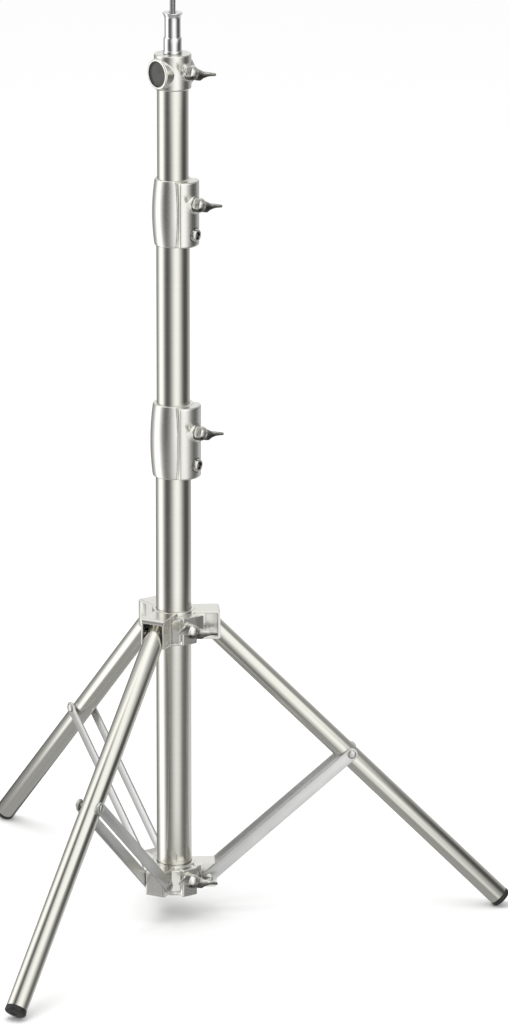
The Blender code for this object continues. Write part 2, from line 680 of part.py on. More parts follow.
def head(root, pin_z):
    """The head casting: an upright barrel crossed by the side socket."""
    low = HEAD_BOTTOM_Z
    high = HEAD_TOP_Z
    profile = [
        (0.0, low),
        (HEAD_R - HEAD_EDGE, low),
        (HEAD_R, low + HEAD_EDGE),
        (HEAD_R, high - HEAD_EDGE),
        (HEAD_R - HEAD_EDGE, high),
        (0.0, high),
    ]
    body = finish("head_casting", revolve(profile, TUBE_SIDES, False), root, "casting")
    socket_z = low + SIDE_SOCKET_RISE
    edge = HEAD_EDGE
    profile = [
        (0.0, -SIDE_SOCKET_BACK),
        (SIDE_SOCKET_R - 2 * edge, -SIDE_SOCKET_BACK),
        (SIDE_SOCKET_R, -SIDE_SOCKET_BACK + 2 * edge),
        (SIDE_SOCKET_R, SIDE_SOCKET_FRONT - edge),
        (SIDE_SOCKET_R - edge * 0.6, SIDE_SOCKET_FRONT),
        (0.0, SIDE_SOCKET_FRONT),
    ]
    side = revolve(profile, LEG_SIDES, False, "X")
    add(body, helper("head_side_socket", side, turned(SIDE_SOCKET_AZIMUTH, socket_z)))
    wing_z = low + HEAD_WING_RISE
    boss = screw_boss(HEAD_WING_BOSS_R, HEAD_R * 0.6, HEAD_WING_REACH)
    add(body, helper("head_wing_boss", boss, turned(HEAD_WING_AZIMUTH, wing_z)))

    seat_top = low + HEAD_TUBE_SEAT + SEAT_GAP
    seat = rod(TOP_OUTER_R + BORE_CLEARANCE, low - 0.001, seat_top, TUBE_SIDES)
    cut(body, helper("head_tube_seat", seat))
    floor = SIDE_SOCKET_FRONT - SIDE_SOCKET_DEPTH
    mouth = rod(SIDE_SOCKET_MOUTH_R, floor, SIDE_SOCKET_FRONT + 0.001, BOSS_SIDES, "X")
    cut(body, helper("head_side_mouth", mouth, turned(SIDE_SOCKET_AZIMUTH, socket_z)))
    hole = rod(PAD_BORE_R, STUD_SHANK_R - 0.002, HEAD_WING_REACH + 0.002, HOLE_SIDES, "X")
    cut(body, helper("head_screw_hole", hole, turned(HEAD_WING_AZIMUTH, wing_z)))
    hole = rod(HEAD_PIN_R + PIN_CLEARANCE, TOP_INNER_R, HEAD_R + 0.002, PIN_SIDES, "X")
    cut(body, helper("head_pin_hole", hole, turned(HEAD_PIN_AZIMUTH, pin_z)))
    bore = rod(STUD_SHANK_R + BORE_CLEARANCE, seat_top - 0.001, high + 0.001, BOSS_SIDES)
    cut(body, helper("head_stud_bore", bore))

    pin = rod(HEAD_PIN_R, TOP_INNER_R - 0.0004, HEAD_R - 0.0002, PIN_SIDES, "X")
    finish("head_fixing_pin", pin, root, "steel", turned(HEAD_PIN_AZIMUTH, pin_z))
    plug_r = SIDE_SOCKET_MOUTH_R - SEAT_GAP
    face = SIDE_SOCKET_FRONT - 0.0012
    back = floor + SEAT_GAP
    profile = [
        (0.0, back),
        (plug_r, back),
        (plug_r, face),
        (plug_r * 0.93, face),
        (plug_r * 0.88, face - 0.0010),
        (0.0, face - 0.0010),
    ]
    plug = revolve(profile, BOSS_SIDES, False, "X")
    finish("head_socket_plug", plug, root, "black", turned(SIDE_SOCKET_AZIMUTH, socket_z))
    lock = make_empty("head_lock_line", (0.0, 0.0, wing_z), (0.0, 0.0, HEAD_WING_AZIMUTH), root)
    pad("head_pad", lock, pad_face(STUD_SHANK_R))
    wing_screw("head_wing_screw", lock, HEAD_WING_REACH, stem_tip(STUD_SHANK_R))


def stud(root):
    """The lift-out stud and the camera screw in its top. The joint lies on the head's top."""
    z = SEAT_GAP
    body_low = z + STUD_FLANGE_HEIGHT
    body_high = body_low + STUD_BODY_HEIGHT
    neck_high = body_high + STUD_NECK_HEIGHT
    rim_high = neck_high + STUD_RIM_HEIGHT
    profile = [
        (0.0, -STUD_SHANK_LENGTH),
        (STUD_SHANK_R - 0.0008, -STUD_SHANK_LENGTH),
        (STUD_SHANK_R, -STUD_SHANK_LENGTH + 0.0008),
        (STUD_SHANK_R, z),
        (STUD_FLANGE_R, z),
        (STUD_FLANGE_R, z + STUD_FLANGE_HEIGHT * 0.6),
        (STUD_BODY_R, body_low),
        (STUD_BODY_R, body_high),
        (STUD_NECK_R, body_high + STUD_SHOULDER),
        (STUD_NECK_R, neck_high),
        (STUD_RIM_R, rim_high - STUD_RIM_EDGE),
        (STUD_RIM_R, rim_high - STUD_RIM_EDGE / 4),
        (STUD_RIM_R - STUD_RIM_EDGE / 4, rim_high),
        (0.0, rim_high),
    ]
    body = finish("stud", revolve(profile, BOSS_SIDES, False), root, "chrome")
    floor = rim_high - SCREW_DEPTH
    hole = rod(SCREW_R + PIN_CLEARANCE, floor, rim_high + 0.001, HOLE_SIDES)
    cut(body, helper("stud_screw_hole", hole))
    profile = [
        (0.0, floor + SEAT_GAP),
        (SCREW_R, floor + SEAT_GAP),
        (SCREW_R, rim_high + SCREW_LENGTH - 0.0006),
        (SCREW_R - 0.0006, rim_high + SCREW_LENGTH),
        (0.0, rim_high + SCREW_LENGTH),
    ]
    finish("stud_camera_screw", revolve(profile, HOLE_SIDES, False), root, "chrome")


def clevis_side_outline():
    """Side view of one clevis: flat roof, rounded nose, sloped underside."""
    corner = CLEVIS_CORNER_R
    nose = CLEVIS_REACH
    low = CLEVIS_BOTTOM_Z
    high = CROWN_TOP_Z
    inner = CROWN_BORE_R * 0.6
    outline = [(inner, high), (inner, low - 0.0020), (CROWN_RING_R + 0.002, low - 0.0020)]
    outline += arc((nose - corner, low + corner), corner, 270, 360, 3)
    outline += arc((nose - CLEVIS_NOSE_R, high - CLEVIS_NOSE_R), CLEVIS_NOSE_R, 0, 90, 4)
    return outline


def pillar(low, high):
    """The upright block that carries a bracket's wing screw, with its outer edges cut off."""
    half = CROWN_PILLAR_HALF_WIDTH
    edge = CROWN_PILLAR_EDGE
    reach = BRACKET_WING_REACH
    inner = CROWN_BORE_R * 0.7
    outline = [
        (inner, -half),
        (reach - edge, -half),
        (reach, -half + edge),
        (reach, half - edge),
        (reach - edge, half),
        (inner, half),
    ]
    return slab(outline, low, high)


def web(corner_radius, corner_half_width, low, high):
    """The flat wall from the pillar to the corners of the two arms beside it."""
    half = CROWN_PILLAR_HALF_WIDTH
    reach = BRACKET_WING_REACH - WEB_BEHIND_PILLAR
    turn = math.radians(60.0)
    along = corner_radius * math.cos(turn) + corner_half_width * math.sin(turn)
    across = corner_radius * math.sin(turn) - corner_half_width * math.cos(turn)
    inner = CROWN_BORE_R * 0.6
    outline = [
        (inner, -half),
        (along - 4 * WEB_LEAN, -across + 6 * WEB_LEAN),
        (along, -across),
        (reach, -half),
        (reach, half),
        (along, across),
        (along - 4 * WEB_LEAN, across - 6 * WEB_LEAN),
        (inner, half),
    ]
    return slab(outline, low, high)


def crown(root):
    """The upper bracket: a ring on the mast with three clevises and a screw boss."""
    ring = rod(CROWN_RING_R, CROWN_BOTTOM_Z, CROWN_TOP_Z + 0.0006, TUBE_SIDES)
    body = finish("crown_bracket", ring, root, "casting")
    side = clevis_side_outline()
    for index, name in enumerate(LEG_NAMES):
        block = slab(side, -CLEVIS_HALF_WIDTH, CLEVIS_HALF_WIDTH, "XZ")
        add(body, helper(f"crown_block_{name}", block, turned(index * LEG_STEP)))
    line = turned(CROWN_WING_AZIMUTH)
    add(body, helper("crown_pillar", pillar(CROWN_PILLAR_BOTTOM_Z, CROWN_PILLAR_TOP_Z), line))
    corner = CLEVIS_REACH - CLEVIS_CAVITY_LENGTH
    wall = web(corner, CLEVIS_HALF_WIDTH, WEB_BOTTOM_Z, WEB_TOP_Z)
    add(body, helper("crown_web", wall, line))
    slot_start = CROWN_RING_R + 0.0006
    panel_start = LEG_PIVOT_RADIUS - CLEVIS_PANEL_BEHIND_PIVOT
    margin = CLEVIS_PANEL_MARGIN
    for index, name in enumerate(LEG_NAMES):
        matrix = turned(index * LEG_STEP)
        slot = box(
            (slot_start, -CLEVIS_HALF_GAP, CROWN_BOTTOM_Z - 0.004),
            (CLEVIS_REACH + 0.004, CLEVIS_HALF_GAP, CROWN_TOP_Z - CLEVIS_ROOF),
        )
        cut(body, helper(f"crown_slot_{name}", slot, matrix))
        pin_hole = rod(LEG_PIN_R + PIN_CLEARANCE, -CLEVIS_HALF_WIDTH - 0.001,
                       CLEVIS_HALF_WIDTH + 0.001, PIN_SIDES, "Y")
        place = matrix @ Matrix.Translation((LEG_PIVOT_RADIUS, 0.0, LEG_PIVOT_Z))
        cut(body, helper(f"crown_pin_hole_{name}", pin_hole, place))
        for tag, sign in (("left", 1.0), ("right", -1.0)):
            outer = CLEVIS_HALF_WIDTH + 0.001
            inner = CLEVIS_HALF_WIDTH - CLEVIS_PANEL_DEPTH
            panel = box(
                (panel_start, min(sign * inner, sign * outer), CLEVIS_BOTTOM_Z + margin),
                (CLEVIS_REACH - margin, max(sign * inner, sign * outer), CROWN_TOP_Z - margin),
            )
            cut(body, helper(f"crown_panel_{name}_{tag}", panel, matrix))
        pin_half = CLEVIS_HALF_WIDTH - CLEVIS_PANEL_DEPTH
        pin = rod(LEG_PIN_R, -pin_half, pin_half, PIN_SIDES, "Y")
        finish(f"leg_pivot_pin_{name}", pin, root, "steel", place)
    hole = rod(PAD_BORE_R, CROWN_BORE_R - 0.004, BRACKET_WING_REACH + 0.002, HOLE_SIDES, "X")
    cut(body, helper("crown_screw_hole", hole, turned(CROWN_WING_AZIMUTH, CROWN_WING_Z)))
    bore = rod(CROWN_BORE_R, CROWN_BOTTOM_Z - 0.001, CROWN_TOP_Z + 0.002, TUBE_SIDES)
    cut(body, helper("crown_bore", bore))
    rotation = (0.0, 0.0, CROWN_WING_AZIMUTH)
    lock = make_empty("crown_lock_line", (0.0, 0.0, CROWN_WING_Z), rotation, root)
    pad("crown_pad", lock, pad_face(MAST_OUTER_R))
    wing_screw("crown_wing_screw", lock, BRACKET_WING_REACH, stem_tip(MAST_OUTER_R))


def lug_outline():
    """Side view of one spreader lug, rounded at its outer corners."""
    corner = SPREADER_LUG_CORNER_R
    reach = SPREADER_LUG_REACH
    low = SPREADER_LUG_BOTTOM_Z
    high = SPREADER_TOP_Z - 0.0004
    inner = CROWN_BORE_R * 0.6
    outline = [(inner, high), (inner, low)]
    outline += arc((reach - corner, low + corner), corner, 270, 360, 4)
    outline += arc((reach - corner * 0.5, high - corner * 0.5), corner * 0.5, 0, 90, 3)
    return outline


def spreader(root):
    """The lower bracket, with one solid lug between each pair of bars."""
    ring = rod(SPREADER_RING_R, SPREADER_BOTTOM_Z, SPREADER_TOP_Z, TUBE_SIDES)
    body = finish("spreader_bracket", ring, root, "casting")
    side = lug_outline()
    half = SPREADER_LUG_WIDTH / 2
    for index, name in enumerate(LEG_NAMES):
        lug = slab(side, -half, half, "XZ")
        add(body, helper(f"spreader_lug_{name}", lug, turned(index * LEG_STEP)))
    line = turned(CROWN_WING_AZIMUTH)
    low = SPREADER_BOTTOM_Z + SPREADER_PILLAR_ABOVE_BOTTOM
    high = SPREADER_TOP_Z - SPREADER_PILLAR_BELOW_TOP
    add(body, helper("spreader_pillar", pillar(low, high), line))
    low = BRACE_PIVOT_Z - SPREADER_WEB_BELOW_PIVOT
    high = SPREADER_TOP_Z - SPREADER_WEB_BELOW_TOP
    corner = SPREADER_LUG_REACH - SPREADER_LUG_NOSE
    add(body, helper("spreader_web", web(corner, half, low, high), line))
    for index, name in enumerate(LEG_NAMES):
        place = turned(index * LEG_STEP) @ Matrix.Translation((BRACE_PIVOT_RADIUS, 0.0, BRACE_PIVOT_Z))
        hole = rod(LOWER_PIN_R + PIN_CLEARANCE, -half - 0.001, half + 0.001, PIN_SIDES, "Y")
        cut(body, helper(f"spreader_pin_hole_{name}", hole, place))
        head_start = BAR_OUTER_Y + SEAT_GAP
        head_end = head_start + LOWER_PIN_HEAD_HEIGHT
        profile = [
            (0.0, -head_end),
            (LOWER_PIN_HEAD_R * 0.7, -head_end),
            (LOWER_PIN_HEAD_R, -head_start - LOWER_PIN_HEAD_HEIGHT * 0.4),
            (LOWER_PIN_HEAD_R, -head_start),
            (LOWER_PIN_R, -head_start),
            (LOWER_PIN_R, head_start),
            (LOWER_PIN_HEAD_R, head_start),
            (LOWER_PIN_HEAD_R, head_start + LOWER_PIN_HEAD_HEIGHT * 0.4),
            (LOWER_PIN_HEAD_R * 0.7, head_end),
            (0.0, head_end),
        ]
        finish(f"brace_pivot_pin_{name}", revolve(profile, PIN_SIDES, False, "Y"), root, "steel", place)
    hole = rod(PAD_BORE_R, CROWN_BORE_R - 0.004, BRACKET_WING_REACH + 0.002, HOLE_SIDES, "X")
    cut(body, helper("spreader_screw_hole", hole, turned(CROWN_WING_AZIMUTH, SPREADER_WING_Z)))
    bore = rod(CROWN_BORE_R, SPREADER_BOTTOM_Z - 0.001, SPREADER_TOP_Z + 0.001, TUBE_SIDES)
    cut(body, helper("spreader_bore", bore))
    rotation = (0.0, 0.0, CROWN_WING_AZIMUTH)
    lock = make_empty("spreader_lock_line", (0.0, 0.0, SPREADER_WING_Z), rotation, root)
    pad("spreader_pad", lock, pad_face(MAST_OUTER_R))
    wing_screw("spreader_wing_screw", lock, BRACKET_WING_REACH, stem_tip(MAST_OUTER_R))


def leg(name, azimuth, root):
    """One leg on its hinge. Its local Z axis runs up the tube and its Y axis is the hinge."""
    pivot = turned(azimuth) @ Vector((LEG_PIVOT_RADIUS, 0.0, LEG_PIVOT_Z))
    joint = make_empty(f"leg_joint_{name}", pivot, (0.0, -LEG_OPEN_ANGLE, azimuth), root)
    bottom = -LEG_LENGTH + FOOT_FLANGE + SEAT_GAP
    tube = finish(f"leg_tube_{name}", pipe(LEG_OUTER_R, LEG_INNER_R, bottom, LEG_ABOVE_PIVOT, LEG_SIDES),
                  joint, "steel")
    hole = rod(LEG_PIN_R + BORE_CLEARANCE, -LEG_OUTER_R - 0.001, LEG_OUTER_R + 0.001, PIN_SIDES, "Y")
    cut(tube, helper(f"leg_pivot_hole_{name}", hole))
    place = Matrix.Translation((BRACE_PIN_OFFSET, 0.0, -BRACE_PIN_ALONG_LEG))
    hole = rod(RIVET_R + PIN_CLEARANCE, -LEG_OUTER_R - 0.001, LEG_OUTER_R + 0.001, PIN_SIDES, "Y")
    cut(tube, helper(f"leg_rivet_hole_{name}", hole, place))
    reach = math.sqrt(LEG_OUTER_R ** 2 - BRACE_PIN_OFFSET ** 2) - 0.0001
    pin = rod(RIVET_R, -reach, reach, PIN_SIDES, "Y")
    finish(f"leg_rivet_{name}", pin, joint, "steel", place)
    plug = LEG_INNER_R - SEAT_GAP
    low = -LEG_LENGTH
    top = low + FOOT_FLANGE
    profile = [
        (0.0, low),
        (FOOT_FLANGE_R - FOOT_EDGE, low),
        (FOOT_FLANGE_R, low + FOOT_EDGE),
        (FOOT_FLANGE_R, top),
        (plug, top),
        (plug, top + FOOT_PLUG),
        (FOOT_HOLLOW_R, top + FOOT_PLUG),
        (FOOT_HOLLOW_R, top),
        (0.0, top),
    ]
    finish(f"leg_foot_{name}", revolve(profile, LEG_SIDES, False), joint, "black")


def brace(name, azimuth, root):
    """A pair of flat bars on the spreader's lug, with the rivet heads at their upper ends."""
    pivot = turned(azimuth) @ Vector((BRACE_PIVOT_RADIUS, 0.0, BRACE_PIVOT_Z))
    joint = make_empty(f"brace_joint_{name}", pivot, (0.0, BRACE_OPEN_ANGLE, azimuth), root)
    half = BAR_WIDTH / 2
    outline = arc((0.0, 0.0), half, 180, 360, BAR_END_ARC_STEPS)
    outline += arc((0.0, BRACE_LENGTH), half, 0, 180, BAR_END_ARC_STEPS)
    for tag, sign in (("left", 1.0), ("right", -1.0)):
        low = min(sign * BAR_INNER_Y, sign * BAR_OUTER_Y)
        high = max(sign * BAR_INNER_Y, sign * BAR_OUTER_Y)
        bar = finish(f"brace_bar_{name}_{tag}", slab(outline, low, high, "XZ"), joint, "bar")
        hole = rod(LOWER_PIN_R + BORE_CLEARANCE, low - 0.001, high + 0.001, PIN_SIDES, "Y")
        cut(bar, helper(f"brace_lower_hole_{name}_{tag}", hole))
        place = Matrix.Translation((0.0, 0.0, BRACE_LENGTH))
        hole = rod(RIVET_R + PIN_CLEARANCE, low - 0.001, high + 0.001, PIN_SIDES, "Y")
        cut(bar, helper(f"brace_upper_hole_{name}_{tag}", hole, place))
        seat = BAR_OUTER_Y + SEAT_GAP
        crest = seat + RIVET_HEAD_HEIGHT
        profile = [
            (0.0, sign * BAR_INNER_Y),
            (RIVET_R, sign * BAR_INNER_Y),
            (RIVET_R, sign * seat),
            (RIVET_HEAD_R, sign * seat),
            (RIVET_HEAD_R * 0.92, sign * (seat + RIVET_HEAD_HEIGHT * 0.55)),
            (RIVET_HEAD_R * 0.55, sign * crest),
            (0.0, sign * crest),
        ]
        rivet = revolve(profile, PIN_SIDES, False, "Y")
        finish(f"brace_rivet_{name}_{tag}", rivet, joint, "steel", place)


def build():
    clear_scene()
    crown_root = make_empty("crown_root", (0.0, 0.0, 0.0), (0.0, 0.0, 0.0))
    spreader_slide = make_empty("spreader_slide", (0.0, 0.0, 0.0), (0.0, 0.0, 0.0), crown_root)
    mast_slide = make_empty("mast_slide", (0.0, 0.0, 0.0), (0.0, 0.0, 0.0), spreader_slide)
    middle_slide = make_empty("middle_slide", (0.0, 0.0, 0.0), (0.0, 0.0, 0.0), mast_slide)
    top_slide = make_empty("top_slide", (0.0, 0.0, 0.0), (0.0, 0.0, 0.0), middle_slide)
    stud_slide = make_empty("stud_slide", (0.0, 0.0, HEAD_TOP_Z), (0.0, 0.0, 0.0), top_slide)

    mast_section(mast_slide)
    collar("lower_collar", mast_slide, LOWER_COLLAR_Z, LOWER_COLLAR_HEIGHT,
           LOWER_COLLAR_END_R, LOWER_COLLAR_BELLY_R, MAST_OUTER_R, MIDDLE_OUTER_R,
           LOWER_COLLAR_STEP_Z, LOWER_COLLAR_LOBE_R, LOWER_COLLAR_LOBE_REACH,
           LOWER_COLLAR_LOBE_HALF_WIDTH, LOWER_COLLAR_BOLT_RISE, LOWER_COLLAR_WING_RISE)
    middle_section(middle_slide)
    collar("upper_collar", middle_slide, UPPER_COLLAR_Z, UPPER_COLLAR_HEIGHT,
           UPPER_COLLAR_END_R, UPPER_COLLAR_BELLY_R, MIDDLE_OUTER_R, TOP_OUTER_R,
           UPPER_COLLAR_STEP_Z, UPPER_COLLAR_LOBE_R, UPPER_COLLAR_LOBE_REACH,
           UPPER_COLLAR_LOBE_HALF_WIDTH, UPPER_COLLAR_BOLT_RISE, UPPER_COLLAR_WING_RISE)
    top_section(top_slide)
    stud(stud_slide)
    crown(crown_root)
    spreader(spreader_slide)
    for index, name in enumerate(LEG_NAMES):
        leg(name, index * LEG_STEP, crown_root)
        brace(name, index * LEG_STEP, spreader_slide)


build()
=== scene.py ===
# %% [markdown]
# # Dressing a three-section light stand
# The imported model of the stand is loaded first. It is a fixed frame: every finished
# piece below stands exactly where its plain solid stands and moves with the same body.
# We build in the order a maker would: tubes, legs, braces, screws, castings, stud.

# %% Load the frame
import json
import math

import bpy
from mathutils import Matrix, Vector


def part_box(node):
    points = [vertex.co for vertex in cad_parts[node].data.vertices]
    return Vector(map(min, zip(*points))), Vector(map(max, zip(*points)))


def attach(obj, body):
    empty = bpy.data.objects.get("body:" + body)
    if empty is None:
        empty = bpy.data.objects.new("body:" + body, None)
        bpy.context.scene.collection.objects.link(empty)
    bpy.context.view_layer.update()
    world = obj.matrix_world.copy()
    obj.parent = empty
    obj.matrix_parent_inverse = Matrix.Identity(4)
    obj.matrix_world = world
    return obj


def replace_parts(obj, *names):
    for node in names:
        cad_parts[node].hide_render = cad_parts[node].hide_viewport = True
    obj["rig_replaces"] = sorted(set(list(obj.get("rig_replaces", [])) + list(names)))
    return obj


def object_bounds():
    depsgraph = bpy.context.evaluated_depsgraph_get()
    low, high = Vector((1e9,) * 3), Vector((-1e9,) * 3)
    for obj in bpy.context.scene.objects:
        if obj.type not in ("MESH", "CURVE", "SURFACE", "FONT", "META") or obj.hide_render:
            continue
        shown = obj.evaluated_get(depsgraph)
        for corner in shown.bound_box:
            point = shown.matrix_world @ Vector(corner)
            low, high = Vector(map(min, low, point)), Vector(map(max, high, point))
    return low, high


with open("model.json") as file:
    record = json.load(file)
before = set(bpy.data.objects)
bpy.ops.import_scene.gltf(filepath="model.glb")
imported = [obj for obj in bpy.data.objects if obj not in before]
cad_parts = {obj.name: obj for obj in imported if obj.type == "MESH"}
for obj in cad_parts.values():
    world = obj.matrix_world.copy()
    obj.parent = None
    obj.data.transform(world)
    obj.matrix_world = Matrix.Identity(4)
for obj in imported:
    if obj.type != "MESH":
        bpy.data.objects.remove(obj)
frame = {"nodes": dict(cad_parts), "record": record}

cad_low, cad_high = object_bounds()
body_of_node = {}
for body, nodes in frame["record"]["behaviour"]["bodies"].items():
    for node in nodes:
        body_of_node[node] = body
print("frame box", tuple(cad_low), tuple(cad_high), "nodes", len(frame["nodes"]))

# %% [markdown]
# ## Tools of the bench
# Blender's operators act on whatever is selected, so each step first lays everything
# aside and then picks one piece. Faces are chosen by where they are and which way they
# look, as a hand would choose them on the screen.

# %% Picking pieces and faces
def lay_aside():
    if bpy.context.mode != "OBJECT":
        bpy.ops.object.mode_set(mode="OBJECT")
    bpy.ops.object.select_all(action="DESELECT")


def pick(piece):
    lay_aside()
    piece.select_set(True)
    bpy.context.view_layer.objects.active = piece


def open_up(piece, kind="VERT", chosen="SELECT"):
    """Enters edit mode with all of the piece chosen, or none of it."""
    pick(piece)
    bpy.ops.object.mode_set(mode="EDIT")
    bpy.ops.mesh.select_mode(type=kind)
    bpy.ops.mesh.select_all(action=chosen)


def close_up():
    bpy.ops.object.mode_set(mode="OBJECT")


def choose_faces(piece, wanted):
    """Selects the faces whose centre and normal are wanted, and stays in edit mode."""
    open_up(piece, "FACE", "DESELECT")
    close_up()
    for face in piece.data.polygons:
        face.select = wanted(face.center, face.normal)
    bpy.ops.object.mode_set(mode="EDIT")


def choose_points(piece, wanted):
    open_up(piece, "VERT", "DESELECT")
    close_up()
    for point in piece.data.vertices:
        point.select = wanted(point.co)
    bpy.ops.object.mode_set(mode="EDIT")


def round_edges(piece, wanted, width, segments):
    """Bevels the edges whose two ends are wanted."""
    open_up(piece, "EDGE", "DESELECT")
    close_up()
    points = piece.data.vertices
    for edge in piece.data.edges:
        edge.select = wanted(points[edge.vertices[0]].co, points[edge.vertices[1]].co)
    bpy.ops.object.mode_set(mode="EDIT")
    bpy.ops.mesh.bevel(offset=width, segments=segments, affect="EDGES")
    close_up()


def saw_off(piece, point, direction):
    """Cuts the piece with a plane, throws away the far side and closes the cut."""
    open_up(piece)
    bpy.ops.mesh.bisect(plane_co=point, plane_no=direction, use_fill=True, clear_outer=True)
    close_up()


def face_outwards(piece):
    open_up(piece)
    bpy.ops.mesh.remove_doubles(threshold=0.000001)
    bpy.ops.mesh.normals_make_consistent(inside=False)
    close_up()


print("bench ready")

# %% [markdown]
# A modifier is used like a machine on the bench: set up, run, and put away. `ease_edges`
# breaks the sharp corners that no real part has, because it is these narrow rounded
# edges that catch the light. `place` turns a piece made at the origin into its position
# and leaves the object itself unturned.

# %% Machines: modifiers that are applied at once
def run_machine(piece, modifier):
    pick(piece)
    bpy.ops.object.modifier_apply(modifier=modifier.name)


def ease_edges(piece, width, segments, angle=35.0):
    bevel = piece.modifiers.new("Eased edges", "BEVEL")
    bevel.width = width
    bevel.segments = segments
    bevel.limit_method = "ANGLE"
    bevel.angle_limit = math.radians(angle)
    run_machine(piece, bevel)


def soften(piece, passes):
    smooth = piece.modifiers.new("Soften", "SMOOTH")
    smooth.factor = 0.5
    smooth.iterations = passes
    run_machine(piece, smooth)


def shade(piece, angle=32.0):
    pick(piece)
    bpy.ops.object.shade_smooth_by_angle(angle=math.radians(angle))


def place(piece, matrix):
    piece.matrix_world = matrix
    pick(piece)
    bpy.ops.object.transform_apply(location=True, rotation=True, scale=True)
    return piece


def named(name):
    """Gives the piece that was just made its name."""
    piece = bpy.context.object
    piece.name = name
    piece.data.name = name
    return piece


def settled(name):
    """Names the piece that was just added and puts its place into its mesh."""
    piece = named(name)
    return place(piece, piece.matrix_world.copy())


def twin(piece, name):
    """A copy with its own mesh."""
    pick(piece)
    bpy.ops.object.duplicate(linked=False)
    return named(name)


def scrap(*pieces):
    for piece in pieces:
        bpy.data.objects.remove(piece, do_unlink=True)


print("machines ready")

# %% [markdown]
# ## Turned pieces
# Foot plugs, rivets, bolts, rings and the stud all come off a lathe. In Blender the lathe is
# Spin: half of the section is drawn by pulling one point along it, and the line is spun
# once round the upright axis. Points on the axis melt together into a pole.

# %% The lathe
def lone_point(name, radius, height):
    """A single point to pull a line out of, in edit mode."""
    lay_aside()
    bpy.ops.mesh.primitive_plane_add(size=0.002, location=(0.0, 0.0, 0.0))
    piece = named(name)
    open_up(piece)
    bpy.ops.mesh.merge(type="CENTER")
    bpy.ops.transform.translate(value=(radius, 0.0, height))
    return piece


def pull_out(step):
    bpy.ops.mesh.extrude_region_move(TRANSFORM_OT_translate={"value": step})


def turned_piece(name, section, steps=72):
    """Spins a section of (radius, height) points about Z."""
    piece = lone_point(name, *section[0])
    for before, after in zip(section, section[1:]):
        pull_out((after[0] - before[0], 0.0, after[1] - before[1]))
    bpy.ops.mesh.select_all(action="SELECT")
    bpy.ops.mesh.spin(steps=steps, angle=math.tau, center=(0.0, 0.0, 0.0), axis=(0.0, 0.0, 1.0))
    face_outwards(piece)
    return piece


def lying_along_x():
    return Matrix.Rotation(math.pi / 2, 4, "Y")


def lying_along_y(side):
    return Matrix.Rotation(-side * math.pi / 2, 4, "X")


def round_bar(name, radius, low, high, sides=64, ends="NGON"):
    """A cutter or core for the castings, or the skin of a tube, never shown by itself."""
    lay_aside()
    bpy.ops.mesh.primitive_cylinder_add(
        vertices=sides, radius=radius, depth=high - low, end_fill_type=ends,
        location=(0.0, 0.0, (low + high) / 2),
    )
    return settled(name)


print("lathe ready")

# %% [markdown]
# ## Drawn tubes
# A tube starts as an open cylinder skin. Solidify gives it the wall thickness of the
# real tube, inwards, so that the outside stays true to size, and the rims are eased.

# %% The tube bench
def drawn_tube(name, radius, wall, low, high, sides=96):
    tube = round_bar(name, radius, low, high, sides, "NOTHING")
    solid = tube.modifiers.new("Wall", "SOLIDIFY")
    solid.thickness = wall
    solid.offset = -1.0
    run_machine(tube, solid)
    ease_edges(tube, wall * 0.3, segments=2, angle=60.0)
    shade(tube)
    return tube


print("tube bench ready")

# %% [markdown]
# ## Castings
# The collars, the head and both leg brackets are cast, so where two forms meet there is
# a soft fillet and no sharp outer corner. We lay plain forms over each other, let a voxel
# remesh melt them into one skin, and smooth that skin. The bores are cut afterwards,
# crisply, as the machine shop would.

# %% The foundry
def block(name, low, high):
    lay_aside()
    centre = [(a + b) / 2 for a, b in zip(low, high)]
    size = [b - a for a, b in zip(low, high)]
    bpy.ops.mesh.primitive_cube_add(size=1.0, location=centre, scale=size)
    return settled(name)


def gather(pieces, name):
    """Joins several meshes into the first."""
    lay_aside()
    for piece in pieces:
        piece.select_set(True)
    bpy.context.view_layer.objects.active = pieces[0]
    if len(pieces) > 1:
        bpy.ops.object.join()
    return named(name)


def cut_away(piece, cutters, operation="DIFFERENCE", solver="MANIFOLD"):
    tool = gather(cutters, "cutter")
    boolean = piece.modifiers.new("Cut", "BOOLEAN")
    boolean.operation = operation
    boolean.solver = solver
    boolean.object = tool
    run_machine(piece, boolean)
    scrap(tool)
    return piece


def cast(piece, voxel, passes):
    """Melts overlapping forms into one skin and smooths it."""
    skin = piece.modifiers.new("Skin", "REMESH")
    skin.mode = "VOXEL"
    skin.voxel_size = voxel
    run_machine(piece, skin)
    soften(piece, passes)
    return piece


def polar(azimuth, height=0.0, reach=0.0):
    """A frame on the mast's axis whose X axis points out at an azimuth."""
    turn = Matrix.Rotation(azimuth, 4, "Z")
    return Matrix.Translation((0.0, 0.0, height)) @ turn @ Matrix.Translation((reach, 0.0, 0.0))


def third_turn(index):
    """The azimuth of one of the three legs."""
    return index * math.radians(120.0)


def point_out(piece, azimuth, height):
    """Lays an upright piece down so that it points out from the mast."""
    return place(piece, polar(azimuth, height) @ lying_along_x())


def drill(radius, start, end, azimuth, height, sides=64):
    """A round cutter that points out from the mast."""
    return point_out(round_bar("drill", radius, start, end, sides), azimuth, height)


# What a turning or sliding piece leaves free round itself
RUNNING_GAP = 0.0003
SCREW_HOLE_R = 0.0043
print("foundry ready")

# %% [markdown]
# ## Finishes
# Every finish is made of nodes on Object coordinates, so it stays on the piece in any
# view. This small wrapper keeps the node code readable: it adds a node, fills in
# its values and connects what is given as another node's output.

# %% Node helpers
IDENTITY = Matrix.Identity(4)


